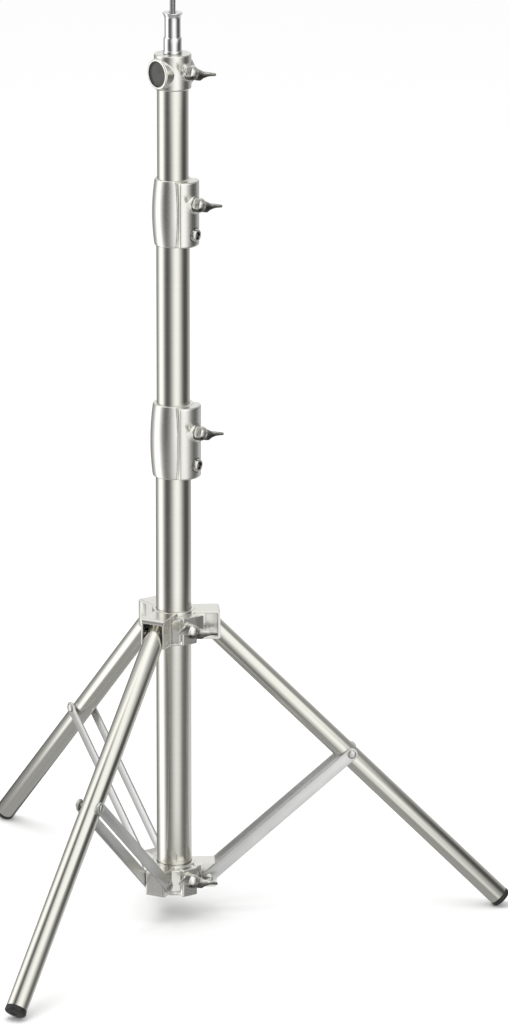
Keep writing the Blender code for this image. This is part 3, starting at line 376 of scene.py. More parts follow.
class Finish:
    def __init__(self, name):
        self.material = bpy.data.materials.new(name)
        self.material.use_nodes = True
        self.tree = self.material.node_tree
        self.shader = self.tree.nodes["Principled BSDF"]

    def node(self, kind, settings=None, **inputs):
        made = self.tree.nodes.new(kind)
        for key, value in (settings or {}).items():
            setattr(made, key, value)
        for key, value in inputs.items():
            self.set(made, key.replace("_", " "), value)
        return made

    def set(self, node, key, value):
        socket = node.inputs[key]
        if isinstance(value, bpy.types.NodeSocket):
            self.tree.links.new(value, socket)
        else:
            socket.default_value = value

    def place_on(self, frame_matrix, stretch):
        """Object coordinates turned into a piece's own frame, then stretched."""
        inward = frame_matrix.inverted()
        turn = self.node(
            "ShaderNodeMapping", Vector=self.node("ShaderNodeTexCoord").outputs["Object"],
            Rotation=inward.to_euler("XYZ"), Location=inward.to_translation(),
        )
        scale = self.node("ShaderNodeMapping", Vector=turn.outputs["Vector"], Scale=stretch)
        return scale.outputs["Vector"]

    def noise(self, frame_matrix, stretch, detail, scale=1.0, roughness=0.5):
        """Noise that is stretched or squeezed along a piece's own axes."""
        made = self.node(
            "ShaderNodeTexNoise", Vector=self.place_on(frame_matrix, stretch),
            Scale=scale, Detail=detail, Roughness=roughness,
        )
        return made.outputs["Fac"]

    def grain(self, scale, detail, roughness=0.5):
        """Noise that is the same in all directions."""
        return self.noise(IDENTITY, (1.0, 1.0, 1.0), detail, scale, roughness)

    def span(self, value, low, high, start=0.3, end=0.7):
        made = self.node(
            "ShaderNodeMapRange", Value=value, From_Min=start, From_Max=end, To_Min=low, To_Max=high
        )
        return made.outputs["Result"]

    def blend(self, share, first, second):
        made = self.node("ShaderNodeMix", {"data_type": "RGBA"})
        for index, value in ((0, share), (6, first), (7, second)):
            self.set(made, index, (*value, 1.0) if isinstance(value, tuple) else value)
        return made.outputs[2]

    def tones(self, value, first, second):
        """Goes from one colour to the other as the noise rises."""
        return self.blend(self.span(value, 0.0, 1.0), first, second)

    def reckon(self, operation, *values):
        made = self.node("ShaderNodeMath", {"operation": operation})
        for index, value in enumerate(values):
            self.set(made, index, value)
        return made.outputs[0]

    def open_share(self, reach, samples, start, end):
        """Ambient Occlusion, from 0 in a corner to 1 on an open face."""
        corner = self.node("ShaderNodeAmbientOcclusion", {"samples": samples, "only_local": True})
        corner.inputs["Distance"].default_value = reach
        return self.span(corner.outputs["AO"], 0.0, 1.0, start, end)

    def bump(self, height, distance, strength, below=None):
        made = self.node("ShaderNodeBump", Height=height, Distance=distance, Strength=strength)
        if below is not None:
            self.set(made, "Normal", below)
        return made.outputs["Normal"]

    def dress(self, tone, roughness, normal, metallic=1.0):
        """Connects everything to the shader."""
        self.set(self.shader, "Base Color", tone)
        self.shader.inputs["Metallic"].default_value = metallic
        self.set(self.shader, "Roughness", roughness)
        self.set(self.shader, "Normal", normal)
        return self.material


print("finishes can be mixed")

# %% [markdown]
# The tubes are stainless steel ground to a satin. The grinder leaves hair-fine rings
# round the tube, and handling leaves broad faint patches where the shine differs a
# little. The rings are noise squeezed along the tube's own axis, so each leg has
# its own copy of the finish, turned into the leg's direction.

# %% Satin steel for tubes
def satin_steel(name, frame_matrix=IDENTITY):
    finish = Finish(name)
    rings = finish.noise(frame_matrix, (30.0, 30.0, 3200.0), 2.0)
    hair = finish.noise(frame_matrix, (120.0, 120.0, 9000.0), 1.0)
    patches = finish.noise(frame_matrix, (22.0, 22.0, 9.0), 3.0)
    tone = finish.tones(rings, (0.745, 0.735, 0.672), (0.790, 0.780, 0.716))
    tone = finish.blend(finish.span(patches, 0.0, 0.35), tone, (0.730, 0.725, 0.675))
    rough = finish.reckon(
        "ADD", finish.span(rings, 0.120, 0.180), finish.span(patches, -0.015, 0.030)
    )
    return finish.dress(tone, rough, finish.bump(hair, 0.000004, 0.5))


mast_finish = satin_steel("Satin steel, mast")
print(mast_finish.name)

# %% [markdown]
# The castings are zinc with a satin nickel plating. Under the plating the cast skin is
# slightly wavy and finely grained, and the plating is duller in the corners, where the
# polishing wheel doesn't reach. The corners are also painted darker as painted shade.
# Ambient Occlusion finds those corners.

# %% Satin nickel for castings
def cast_nickel(name, screw_frame=None):
    finish = Finish(name)
    grain = finish.grain(2600.0, 2.0)
    waves = finish.grain(210.0, 2.0)
    open_share = finish.open_share(0.0018, 6, 0.35, 0.95)
    tone = finish.tones(grain, (0.815, 0.808, 0.760), (0.870, 0.863, 0.815))
    # Painted shade: the colour goes dark in the corners that Ambient Occlusion finds.
    tone = finish.blend(open_share, (0.460, 0.450, 0.410), tone)
    # Painted shade: below the screw's own middle the colour turns dark and mottled, for the dark
    # undersides.
    if screw_frame is not None:
        own_place = finish.place_on(screw_frame, (1.0, 1.0, 1.0))
        height = finish.node("ShaderNodeSeparateXYZ", Vector=own_place).outputs["Z"]
        mottle = finish.grain(900.0, 2.0)
        uneven = finish.reckon("ADD", height, finish.span(mottle, -0.0008, 0.0008))
        dull = finish.tones(mottle, (0.120, 0.117, 0.104), (0.200, 0.196, 0.176))
        tone = finish.blend(finish.span(uneven, 0.0, 1.0, -0.0034, -0.0006), dull, tone)
    rough = finish.reckon(
        "ADD", finish.span(grain, 0.215, 0.285), finish.span(open_share, 0.12, 0.0, 0.0, 1.0)
    )
    fine = finish.bump(grain, 0.000008, 0.6)
    return finish.dress(tone, rough, finish.bump(waves, 0.00006, 0.6, fine))


nickel_finish = cast_nickel("Satin nickel casting")
print(nickel_finish.name)

# %% [markdown]
# The wing screws are the same metal, with their undersides painted dark and mottled as
# painted shade. Each has its own copy of the finish, because that shade is judged from its
# own middle. The stud and the bolts are bright chrome with faint smudges, and the bolts'
# sockets are painted nearly black as painted shade. The thin screw in the stud is plain
# steel. The brace bars are matt strip steel with rolling lines along them.

# %% Chrome and strip steel
def bright_chrome(name, tone_low, tone_high, dull, hollow_shade_reach=0.0):
    finish = Finish(name)
    smudge = finish.grain(160.0, 4.0)
    lathe = finish.noise(IDENTITY, (40.0, 40.0, 6000.0), 1.0)
    tone = finish.tones(smudge, tone_low, tone_high)
    # Painted shade: hollows such as a bolt's socket are painted nearly black.
    if hollow_shade_reach:
        tone = finish.blend(finish.open_share(hollow_shade_reach, 8, 0.45, 0.92), (0.030, 0.030, 0.028), tone)
    rough = finish.span(smudge, dull, dull + 0.05)
    return finish.dress(tone, rough, finish.bump(lathe, 0.000002, 0.4))


def strip_steel(name, frame_matrix):
    finish = Finish(name)
    lines = finish.noise(frame_matrix, (2400.0, 2400.0, 14.0), 3.0)
    mottle = finish.noise(frame_matrix, (90.0, 90.0, 40.0), 3.0)
    tone = finish.tones(lines, (0.690, 0.690, 0.680), (0.780, 0.780, 0.770))
    tone = finish.blend(finish.span(mottle, 0.0, 0.4), tone, (0.670, 0.668, 0.655))
    return finish.dress(tone, finish.span(mottle, 0.26, 0.36), finish.bump(lines, 0.000008, 0.5))


chrome_finish = bright_chrome("Bright chrome", (0.80, 0.80, 0.80), (0.88, 0.88, 0.88), 0.03)
bolt_finish = bright_chrome("Plated bolt", (0.70, 0.69, 0.66), (0.78, 0.77, 0.74), 0.10, 0.0045)
pin_finish = bright_chrome("Plated rivet", (0.62, 0.61, 0.58), (0.72, 0.71, 0.68), 0.20)
screw_finish = bright_chrome("Plain steel screw", (0.46, 0.46, 0.45), (0.54, 0.54, 0.53), 0.22)
print(chrome_finish.name, bolt_finish.name, pin_finish.name, screw_finish.name)

# %% [markdown]
# The foot plugs are black moulded polythene with the fine spark texture of the mould.
# The disc in the side socket is a smoother dark grey plastic, and the guides and lock
# pads inside are natural nylon, which is milky and a little blotchy.

# %% Plastics
def moulded_plastic(name, dark, light, rough_low, rough_high, relief):
    finish = Finish(name)
    spark = finish.grain(1900.0, 3.0, 0.7)
    tone = finish.tones(finish.grain(130.0, 3.0), dark, light)
    rough = finish.span(spark, rough_low, rough_high)
    return finish.dress(tone, rough, finish.bump(spark, relief, 0.7), metallic=0.0)


foot_finish = moulded_plastic(
    "Black plug", (0.010, 0.010, 0.010), (0.020, 0.020, 0.019), 0.38, 0.52, 0.00003
)
disc_finish = moulded_plastic(
    "Grey disc", (0.040, 0.040, 0.036), (0.066, 0.065, 0.060), 0.26, 0.38, 0.00001
)
nylon_finish = moulded_plastic(
    "Natural nylon", (0.66, 0.65, 0.59), (0.74, 0.73, 0.68), 0.42, 0.55, 0.00002
)
nylon_shader = nylon_finish.node_tree.nodes["Principled BSDF"]
nylon_shader.inputs["Subsurface Weight"].default_value = 0.15
nylon_shader.inputs["Subsurface Scale"].default_value = 0.002
print(foot_finish.name, disc_finish.name, nylon_finish.name)

# %% [markdown]
# When a piece is finished it gets its material, stands in for its plain solid, and rides on
# the body that carries that solid.

# %% Handing a piece over
made_pieces = []


def hand_over(piece, node, material):
    piece.data.materials.clear()
    piece.data.materials.append(material)
    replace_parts(piece, node)
    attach(piece, body_of_node[node])
    made_pieces.append(piece)
    print(piece.name, "for", node, "faces", len(piece.data.polygons))


# %% [markdown]
# ## Camera
# The photograph was taken from about 17 degrees above the horizon with a long lens. These
# figures come from fitting the feet, the collars and the stud to the picture, and the
# first leg is seen almost square on. The mast hardly leans in the picture, so the lens was
# aimed nearer to the mast than the picture's middle is, and a small shift puts that right.

# %% Camera at the photograph's angle
CAMERA_ELEVATION = math.radians(16.71)
CAMERA_TURN = math.radians(-2.913)
CAMERA_DISTANCE = 5.634
CAMERA_TARGET = Vector((0.0359, -0.0018, 0.4013))
CAMERA_LENS = 198.07
CAMERA_SHIFT = 0.0435

camera_data = bpy.data.cameras.new("Camera")
camera_data.lens = CAMERA_LENS
camera_data.sensor_width = 36.0
camera_data.shift_x = CAMERA_SHIFT
camera_data.clip_start = 0.1
camera_data.clip_end = 200.0
camera = bpy.data.objects.new("Camera", camera_data)
bpy.context.scene.collection.objects.link(camera)
towards_camera = Vector((
    math.sin(CAMERA_TURN) * math.cos(CAMERA_ELEVATION),
    -math.cos(CAMERA_TURN) * math.cos(CAMERA_ELEVATION),
    math.sin(CAMERA_ELEVATION),
))
camera.location = CAMERA_TARGET + towards_camera * CAMERA_DISTANCE
camera.rotation_mode = "QUATERNION"
camera.rotation_quaternion = (-towards_camera).to_track_quat("-Z", "Y")
bpy.context.scene.camera = camera
print("camera at", tuple(round(c, 3) for c in camera.location))

# %% [markdown]
# ## Studio
# Bright metal has hardly any look of its own: it shows the room. Product photographers
# put such things in a tent of white cloth and hang grey cloth where they want a dark
# band. The tent here is a tall ring that only reflections can see, whose brightness
# changes with direction and a little with height. Its ceiling is brighter than its walls,
# so upturned edges catch a white line, and it darkens towards the ground, so undersides go
# dark. One more sheet behind the stand lights the flat tops. The floor that the camera
# sees is plain and pale, and an even sky lights it.

# %% Floor, tent and light
TENT_RADIUS = 3.0
# Bearing from the camera, then the brightness low down, halfway up and high up
TENT_BANDS = (
    (-180.0, 0.12, 0.12, 0.90),
    (-163.0, 0.16, 0.20, 0.88),
    (-146.0, 0.26, 0.28, 0.66),
    (-130.0, 0.38, 0.40, 0.48),
    (-118.0, 0.66, 0.56, 0.80),
    (-106.0, 1.30, 1.15, 1.20),
    (-92.0, 1.62, 1.48, 1.35),
    (-78.0, 1.52, 1.32, 1.30),
    (-67.0, 0.92, 0.74, 0.80),
    (-56.0, 0.36, 0.26, 0.36),
    (-44.0, 0.21, 0.11, 0.14),
    (-32.0, 0.20, 0.12, 0.16),
    (-20.0, 0.30, 0.25, 0.45),
    (-7.0, 0.60, 0.58, 0.85),
    (6.0, 0.86, 1.00, 1.10),
    (18.0, 0.97, 1.20, 1.20),
    (30.0, 0.90, 1.20, 1.20),
    (42.0, 0.72, 0.98, 1.20),
    (54.0, 0.36, 0.58, 1.25),
    (66.0, 0.20, 0.28, 0.95),
    (78.0, 0.17, 0.10, 0.50),
    (90.0, 0.19, 0.09, 0.30),
    (102.0, 0.28, 0.10, 0.40),
    (114.0, 0.50, 0.25, 0.28),
    (128.0, 0.68, 0.42, 0.42),
    (145.0, 0.74, 0.52, 0.60),
    (164.0, 0.50, 0.44, 0.80),
    (180.0, 0.12, 0.12, 0.90),
)
LOW_COLUMN, MIDDLE_COLUMN, HIGH_COLUMN = 1, 2, 3
# Heights between which one brightness turns into the next
CLOTH_CHANGE = (-0.60, -0.25)
CLOTH_FOOT = (-3.00, -1.90)
CLOTH_TOP = (0.95, 1.60)
TENT_DEPTH = 14.0
GROUND_Z = -3.2
GROUND_LEVEL = 0.38
CEILING_Z = 4.2
CEILING_LEVEL = 1.30
# Distances from the ceiling's middle between which the wall's bands come in
CEILING_BANDS = (0.5, 1.8)
SHEET_AWAY = 2.7
SHEET_Z = 1.32
SHEET_SIZE = (1.5, 3.4)

scene = bpy.context.scene
scene.view_settings.view_transform = "Standard"

lay_aside()
bpy.ops.mesh.primitive_plane_add(size=80.0, location=(0.0, 0.0, cad_low.z))
floor = named("floor")
floor_finish = Finish("Pale floor")
floor_finish.shader.inputs["Base Color"].default_value = (0.965, 0.965, 0.965, 1.0)
floor_finish.shader.inputs["Roughness"].default_value = 0.9
floor_finish.shader.inputs["Specular IOR Level"].default_value = 0.0
floor.data.materials.append(floor_finish.material)
floor.visible_glossy = False


def grey(level):
    return (level, level, level)


def glow_only(obj, finish, colour):
    """Turns the object into glowing cloth that nothing but a reflection can see."""
    tree = finish.tree
    tree.nodes.remove(finish.shader)
    glow = finish.node("ShaderNodeEmission", Color=colour, Strength=1.0)
    output = [n for n in tree.nodes if n.type == "OUTPUT_MATERIAL"][0]
    tree.links.new(glow.outputs["Emission"], output.inputs["Surface"])
    finish.material.cycles.emission_sampling = "NONE"
    obj.data.materials.append(finish.material)
    obj.visible_camera = False
    obj.visible_diffuse = False
    obj.visible_shadow = False
    obj.visible_transmission = False
    obj.visible_volume_scatter = False


def band_ramp(finish, share, column):
    """The brightness round the ring, from one column of the table."""
    ramp = finish.node("ShaderNodeValToRGB", Fac=share)
    elements = ramp.color_ramp.elements
    while len(elements) > 1:
        elements.remove(elements[0])
    for number, band in enumerate(TENT_BANDS):
        position = (band[0] + 180.0) / 360.0
        element = elements.new(position) if number else elements[0]
        element.position = position
        element.color = (*grey(band[column]), 1.0)
    return ramp.outputs["Color"]


def bearing_share(finish):
    """Where a point of the cloth lies round the ring, as a share from 0 to 1."""
    place_of = finish.node("ShaderNodeTexCoord").outputs["Object"]
    split = finish.node("ShaderNodeSeparateXYZ", Vector=place_of)
    bearing = finish.reckon("ARCTAN2", split.outputs["Y"], split.outputs["X"])
    # The camera looks from this bearing, and bearings grow to the camera's right.
    camera_bearing = math.atan2(towards_camera.y, towards_camera.x)
    relative = finish.reckon("SUBTRACT", bearing, camera_bearing)
    wrapped = finish.reckon("WRAP", relative, math.pi, -math.pi)
    return split, finish.span(wrapped, 0.0, 1.0, -math.pi, math.pi)


def tent_wall():
    """A ring of cloth round the stand."""
    lay_aside()
    bpy.ops.mesh.primitive_cylinder_add(
        vertices=128, radius=TENT_RADIUS, depth=TENT_DEPTH, end_fill_type="NOTHING",
        location=(0.0, 0.0, 0.0),
    )
    wall = named("tent")
    finish = Finish("Tent cloth")
    split, share = bearing_share(finish)
    low, middle, high = (
        band_ramp(finish, share, column) for column in (LOW_COLUMN, MIDDLE_COLUMN, HIGH_COLUMN)
    )
    height = split.outputs["Z"]
    colour = finish.blend(finish.span(height, 0.0, 1.0, *CLOTH_CHANGE), low, middle)
    colour = finish.blend(finish.span(height, 0.0, 1.0, *CLOTH_TOP), colour, high)
    colour = finish.blend(finish.span(height, 0.0, 1.0, *CLOTH_FOOT), grey(GROUND_LEVEL), colour)
    glow_only(wall, finish, colour)


def tent_end(name, height, level):
    """A round sheet that closes the ring above or below, slightly uneven like real cloth."""
    lay_aside()
    bpy.ops.mesh.primitive_circle_add(
        vertices=128, radius=TENT_RADIUS * 1.02, fill_type="NGON", location=(0.0, 0.0, height)
    )
    sheet = named(name)
    finish = Finish(name)
    folds = finish.noise(IDENTITY, (0.6, 0.6, 0.6), 1.0)
    colour = finish.tones(folds, grey(level * 0.94), grey(level * 1.06))
    if height > 0.0:
        # The bands of the wall run on over the ceiling and fade out near its middle.
        split, share = bearing_share(finish)
        flat = finish.node("ShaderNodeCombineXYZ", X=split.outputs["X"], Y=split.outputs["Y"])
        across = finish.node("ShaderNodeVectorMath", {"operation": "LENGTH"})
        finish.set(across, 0, flat.outputs["Vector"])
        edge_share = finish.span(across.outputs["Value"], 0.0, 1.0, *CEILING_BANDS)
        colour = finish.blend(edge_share, colour, band_ramp(finish, share, HIGH_COLUMN))
    glow_only(sheet, finish, colour)


def tent_back():
    """A sheet behind the stand, above eye level, that the flat tops reflect."""
    lay_aside()
    away = Vector((-towards_camera.x, -towards_camera.y, 0.0)).normalized()
    place_of = away * SHEET_AWAY
    bpy.ops.mesh.primitive_plane_add(size=1.0, location=(place_of.x, place_of.y, SHEET_Z))
    sheet = named("tent_back")
    sheet.rotation_mode = "QUATERNION"
    sheet.rotation_quaternion = Vector((0.0, 0.0, 1.0)).rotation_difference(-away)
    sheet.scale = (*SHEET_SIZE, 1.0)
    finish = Finish("tent_back")
    folds = finish.noise(IDENTITY, (1.4, 1.4, 1.4), 1.0)
    glow_only(sheet, finish, finish.tones(folds, grey(0.80), grey(0.94)))


tent_wall()
tent_back()
tent_end("tent_ground", GROUND_Z, GROUND_LEVEL)
tent_end("tent_ceiling", CEILING_Z, CEILING_LEVEL)

world = bpy.data.worlds.new("Even sky")
world.use_nodes = True
world.node_tree.nodes["Background"].inputs["Color"].default_value = (1.0, 1.0, 1.0, 1.0)
world.node_tree.nodes["Background"].inputs["Strength"].default_value = 1.0
scene.world = world

lamp_data = bpy.data.lights.new("Overhead softbox", "AREA")
lamp_data.shape = "RECTANGLE"
lamp_data.size = 1.6
lamp_data.size_y = 1.6
lamp_data.energy = 22.0
lamp = bpy.data.objects.new("Overhead softbox", lamp_data)
lamp.location = (-0.5, -0.3, 2.6)
lamp.rotation_mode = "QUATERNION"
lamp.rotation_quaternion = (Vector((0.05, 0.0, 0.3)) - lamp.location).to_track_quat("-Z", "Y")
lamp.visible_glossy = False
scene.collection.objects.link(lamp)
print("floor at", round(cad_low.z, 4), "tent bands", len(TENT_BANDS))

# %% [markdown]
# ## Mast
# Three tubes slide inside each other. Each one's ends and radius are read from the frame.
# Only the outer skins show, but the walls are real, so the stand can be drawn out without
# showing a solid rod. The foot of the mast is closed by a black cap.

# %% Mast tubes and the cap under them
def tube_from(node, wall):
    low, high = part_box(node)
    tube = drawn_tube(f"{node}_drawn", (high.x - low.x) / 2, wall, low.z, high.z)
    hand_over(tube, node, mast_finish)


tube_from("mast_tube", 0.0007)
tube_from("middle_tube", 0.0006)
tube_from("top_tube", 0.0006)

CAP_FLOOR = 0.0025
cap_low, cap_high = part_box("mast_base_cap")
cap_r = (cap_high.x - cap_low.x) / 2
cap = turned_piece("mast_base_cap_moulded", [
    (0.0, 0.0006), (cap_r * 0.30, 0.0006), (cap_r * 0.36, 0.0), (cap_r - 0.0009, 0.0),
    (cap_r - 0.0002, 0.0003), (cap_r, 0.0010), (cap_r, CAP_FLOOR), (cap_r - 0.0010, CAP_FLOOR),
    (cap_r - 0.0010, cap_high.z), (cap_r - 0.0045, cap_high.z), (cap_r - 0.0045, CAP_FLOOR),
    (0.0, CAP_FLOOR),
])
shade(cap)
hand_over(cap, "mast_base_cap", foot_finish)

# %% [markdown]
# ## Legs
# Each leg hangs on a pin in the upper bracket and leans out by 44.8 degrees. One leg is
# made upright and copied into its three places. The black plug pushed into its end has a
# rounded shoulder, and its lower corner is what touches the floor.

# %% Legs and their plugs
LEG_NAMES = ("right", "rear", "front")
LEG_ANGLE = math.radians(44.8)
LEG_PIVOT = (0.0380, 0.0, 0.2830)
LEG_LENGTH = 0.4228
LEG_TOP = 0.0062
LEG_R = 0.0105
LEG_WALL = 0.0010
PLUG_R = 0.0107
PLUG_NECK_R = 0.0092
PLUG_BORE_R = 0.0060


def swung(index, pivot, angle):
    """The frame of a leg or brace: swung about its pivot, in one of the three places."""
    return polar(third_turn(index)) @ Matrix.Translation(pivot) @ Matrix.Rotation(angle, 4, "Y")


plug_low = -LEG_LENGTH
plug_top = plug_low + 0.0050
plug_end = plug_top + 0.0180
leg_pattern = drawn_tube("leg_pattern", LEG_R, LEG_WALL, plug_top + RUNNING_GAP, LEG_TOP, sides=72)
plug_pattern = turned_piece("plug_pattern", [
    (0.0, plug_low + 0.0006), (0.0040, plug_low + 0.0006), (0.0046, plug_low),
    (0.0094, plug_low), (0.0103, plug_low + 0.0003), (PLUG_R, plug_low + 0.0011),
    (PLUG_R, plug_top - 0.0006), (0.0104, plug_top), (PLUG_NECK_R, plug_top),
    (PLUG_NECK_R, plug_end), (PLUG_BORE_R, plug_end), (PLUG_BORE_R, plug_top), (0.0, plug_top),
], steps=64)
shade(plug_pattern)
for index, name in enumerate(LEG_NAMES):
    stance = swung(index, LEG_PIVOT, -LEG_ANGLE)
    tube = place(twin(leg_pattern, f"leg_tube_{name}_drawn"), stance)
    steel = satin_steel(f"Satin steel, {name} leg", stance)
    hand_over(tube, f"leg_tube_{name}", steel)
    plug = place(twin(plug_pattern, f"leg_foot_{name}_moulded"), stance)
    hand_over(plug, f"leg_foot_{name}", foot_finish)
scrap(leg_pattern, plug_pattern)

# %% [markdown]
# ## Brace bars
# A pair of flat bars runs from each leg down to the sliding bracket. A bar is a disc
# pulled apart into a long oval, thickened and eased, as if stamped from strip. Domed
# rivets hold the upper ends and headed pins the lower ones.

# %% Bars, rivets and pins
BAR_LENGTH = 0.1954
BAR_WIDTH = 0.0124
BAR_INNER = 0.0108
BAR_OUTER = 0.0128
BAR_SIDES = 48
HEAD_SEAT = 0.0131
PIN_R = 0.0030
RIVET_R = 0.0025
# Where a bar meets its leg: along the leg from the leg's pin, and above its middle
RIVET_ALONG = 0.1970
RIVET_ABOVE = 0.0040
BRACE_PIVOT = (0.0340, 0.0, 0.015776)
rivet_out = LEG_PIVOT[0] + RIVET_ALONG * math.sin(LEG_ANGLE) + RIVET_ABOVE * math.cos(LEG_ANGLE)
BRACE_ANGLE = math.asin((rivet_out - BRACE_PIVOT[0]) / BAR_LENGTH)


def stamped_bar():
    lay_aside()
    bpy.ops.mesh.primitive_circle_add(
        vertices=BAR_SIDES, radius=BAR_WIDTH / 2, fill_type="NGON",
        location=(0.0, BAR_INNER, 0.0), rotation=(math.pi / 2, math.pi / BAR_SIDES, 0.0),
    )
    bar = settled("bar_pattern")
    choose_points(bar, lambda point: point.z > 0.0)
    bpy.ops.transform.translate(value=(0.0, 0.0, BAR_LENGTH))
    bpy.ops.mesh.select_all(action="SELECT")
    pull_out((0.0, BAR_OUTER - BAR_INNER, 0.0))
    face_outwards(bar)
    ease_edges(bar, 0.00035, segments=3, angle=60.0)
    shade(bar)
    return bar


bar_pattern = stamped_bar()
rivet_pattern = turned_piece("rivet_pattern", [
    (0.0, BAR_INNER + 0.0001), (RIVET_R, BAR_INNER + 0.0001), (RIVET_R, HEAD_SEAT),
    (0.0045, HEAD_SEAT), (0.00450, 0.01335), (0.00425, 0.01390), (0.00350, 0.01445),
    (0.00240, 0.01475), (0.00120, 0.01488), (0.0, 0.0149),
], steps=40)
pin_head = [(0.0050, 0.0132), (0.0048, 0.0139), (0.0038, 0.0145), (0.0020, 0.0150), (0.0, 0.0151)]
pin_pattern = turned_piece("pin_pattern", [
    *((radius, -height) for radius, height in reversed(pin_head)),
    (0.0050, -HEAD_SEAT), (PIN_R, -HEAD_SEAT), (PIN_R, HEAD_SEAT), (0.0050, HEAD_SEAT),
    *pin_head,
], steps=40)
shade(rivet_pattern, 40.0)
shade(pin_pattern, 40.0)

for index, name in enumerate(LEG_NAMES):
    stance = swung(index, BRACE_PIVOT, BRACE_ANGLE)
    top = stance @ Matrix.Translation((0.0, 0.0, BAR_LENGTH))
    steel = strip_steel(f"Strip steel, {name} bars", stance)
    for tag, side, half_turn in (("left", 1.0, 0.0), ("right", -1.0, math.pi)):
        node = f"brace_bar_{name}_{tag}"
        turned = stance @ Matrix.Rotation(half_turn, 4, "Z")
        bar = place(twin(bar_pattern, f"{node}_stamped"), turned)
        hand_over(bar, node, steel)
        node = f"brace_rivet_{name}_{tag}"
        rivet = place(twin(rivet_pattern, f"{node}_headed"), top @ lying_along_y(side))
        hand_over(rivet, node, pin_finish)
    node = f"brace_pivot_pin_{name}"
    pin = place(twin(pin_pattern, f"{node}_headed"), stance @ lying_along_y(1.0))
    hand_over(pin, node, pin_finish)
scrap(bar_pattern, rivet_pattern, pin_pattern)

# %% [markdown]
# ## Wing screws
# All five are the same casting: a round hub with two wings that sweep outwards. A wing
# starts as a deep blade that hangs to one side and runs out into a thin tail. It is a
# short oval bar whose end face is pulled out step by step and resized each time. The other
# wing is the same one turned half round the screw. Two small dents mark where they leave
# the hub.

# %% One wing screw, copied five times
WING_SPAN = 0.0235
WING_SWEEP = 0.0098
WING_START = 0.002
WING_ROOT_OUT = 0.0044
WING_THICK, WING_THIN = 0.0064, 0.0018
WING_STATIONS = 20
WING_VOXEL = 0.00030
WING_PASSES = 5
DENT_R = 0.0013
HUB_R = 0.0074
HUB_LENGTH = 0.0098
# Share of the span, height of the blade's middle, and half its height
WING_SHAPE = (
    (0.00, -0.0010, 0.0050),
    (0.22, -0.0020, 0.0062),
    (0.42, -0.0036, 0.0056),
    (0.55, -0.0036, 0.0036),
    (0.75, -0.0034, 0.0023),
    (1.00, -0.0042, 0.0015),
)


def wing_at(share):
    """Outward place, middle, height and thickness of the wing at a share of its span."""
    outward = WING_ROOT_OUT + WING_SWEEP * share ** 2.2
    thickness = WING_THICK + (WING_THIN - WING_THICK) * share ** 0.8
    near, far = next(pair for pair in zip(WING_SHAPE, WING_SHAPE[1:]) if share <= pair[1][0])
    part = (share - near[0]) / (far[0] - near[0])
    middle, half = (near[i] + (far[i] - near[i]) * part for i in (1, 2))
    return outward, middle, 2 * half, thickness


def pulled_wing():
    before = outward, middle, height, thickness = wing_at(WING_START / WING_SPAN)
    wing = round_bar("wing", 0.5, 0.0, WING_START, sides=28)
    oval = Matrix.Diagonal((thickness, 1.0, height, 1.0))
    place(wing, Matrix.Translation((outward, 0.0, middle)) @ oval @ lying_along_y(1.0))
    choose_faces(wing, lambda centre, normal: abs(normal.y) > 0.9 and centre.y > WING_START / 2)
    at = WING_START
    for station in range(1, WING_STATIONS + 1):
        lateral = WING_START + (WING_SPAN - WING_START) * station / WING_STATIONS
        after = wing_at(min(1.0, lateral / WING_SPAN))
        pull_out((after[0] - before[0], lateral - at, after[1] - before[1]))
        bpy.ops.transform.resize(
            value=(after[3] / before[3], 1.0, after[2] / before[2]),
            center_override=(after[0], lateral, after[1]),
        )
        at, before = lateral, after
    close_up()
    face_outwards(wing)
    return wing


def wing_head():
    hub = turned_piece("hub", [
        (0.0, 0.0), (HUB_R, 0.0), (HUB_R, 0.0042), (HUB_R - 0.0004, 0.0058),
        (HUB_R - 0.0013, 0.0073), (HUB_R - 0.0028, 0.0085), (HUB_R - 0.0045, 0.0093),
        (0.0015, HUB_LENGTH - 0.0001), (0.0, HUB_LENGTH),
    ], steps=48)
    place(hub, lying_along_x())
    first = pulled_wing()
    second = place(twin(first, "second_wing"), Matrix.Rotation(math.pi, 4, "X"))
    head = cast(gather([hub, first, second], "wing_head"), WING_VOXEL, WING_PASSES)
    dents = []
    for side in (1.0, -1.0):
        dent = round_bar("dent", DENT_R, 0.0060, 0.0130, sides=24)
        place(dent, Matrix.Translation((0.0, side * 0.0044, side * 0.0030)) @ lying_along_x())
        dents.append(dent)
    cut_away(head, dents)
    soften(head, 2)
    return head


wing_pattern = wing_head()
shade(wing_pattern, 50.0)
print("wing screw faces", len(wing_pattern.data.polygons))

STEM_R = 0.0040
HEAD_WING_LINE = math.radians(-42.0)
COLLAR_LINE = math.radians(-38.0)
BRACKET_LINE = math.radians(-60.0)
HEAD_WING_Z = 0.8525
CROWN_WING_Z = 0.2850
# Azimuth, height, how far out the face under the hub is, and radius of the tube it presses
WING_PLACES = {
    "head_wing_screw": (HEAD_WING_LINE, HEAD_WING_Z, 0.0205, 0.0079),
    "upper_collar_wing_screw": (COLLAR_LINE, 0.7210, 0.0280, 0.0155),
    "lower_collar_wing_screw": (COLLAR_LINE, 0.4886, 0.0298, 0.0166),
    "crown_wing_screw": (BRACKET_LINE, CROWN_WING_Z, 0.0302, 0.0177),
    "spreader_wing_screw": (BRACKET_LINE, 0.01898, 0.0302, 0.0177),
}
for node, (azimuth, height, face, tube_r) in WING_PLACES.items():
    reach = face + RUNNING_GAP
    tip = tube_r + 0.0026 - reach
    stem = turned_piece("stem", [
        (0.0, tip), (0.0032, tip), (STEM_R, tip + 0.0008), (STEM_R, 0.0006), (0.0, 0.0006),
    ], steps=40)
    shade(stem)
    place(stem, lying_along_x())
    stand = polar(azimuth, height, reach)
    screw = place(gather([twin(wing_pattern, node), stem], f"{node}_cast"), stand)
    hand_over(screw, node, cast_nickel(f"Satin nickel, {node}", stand))
scrap(wing_pattern)

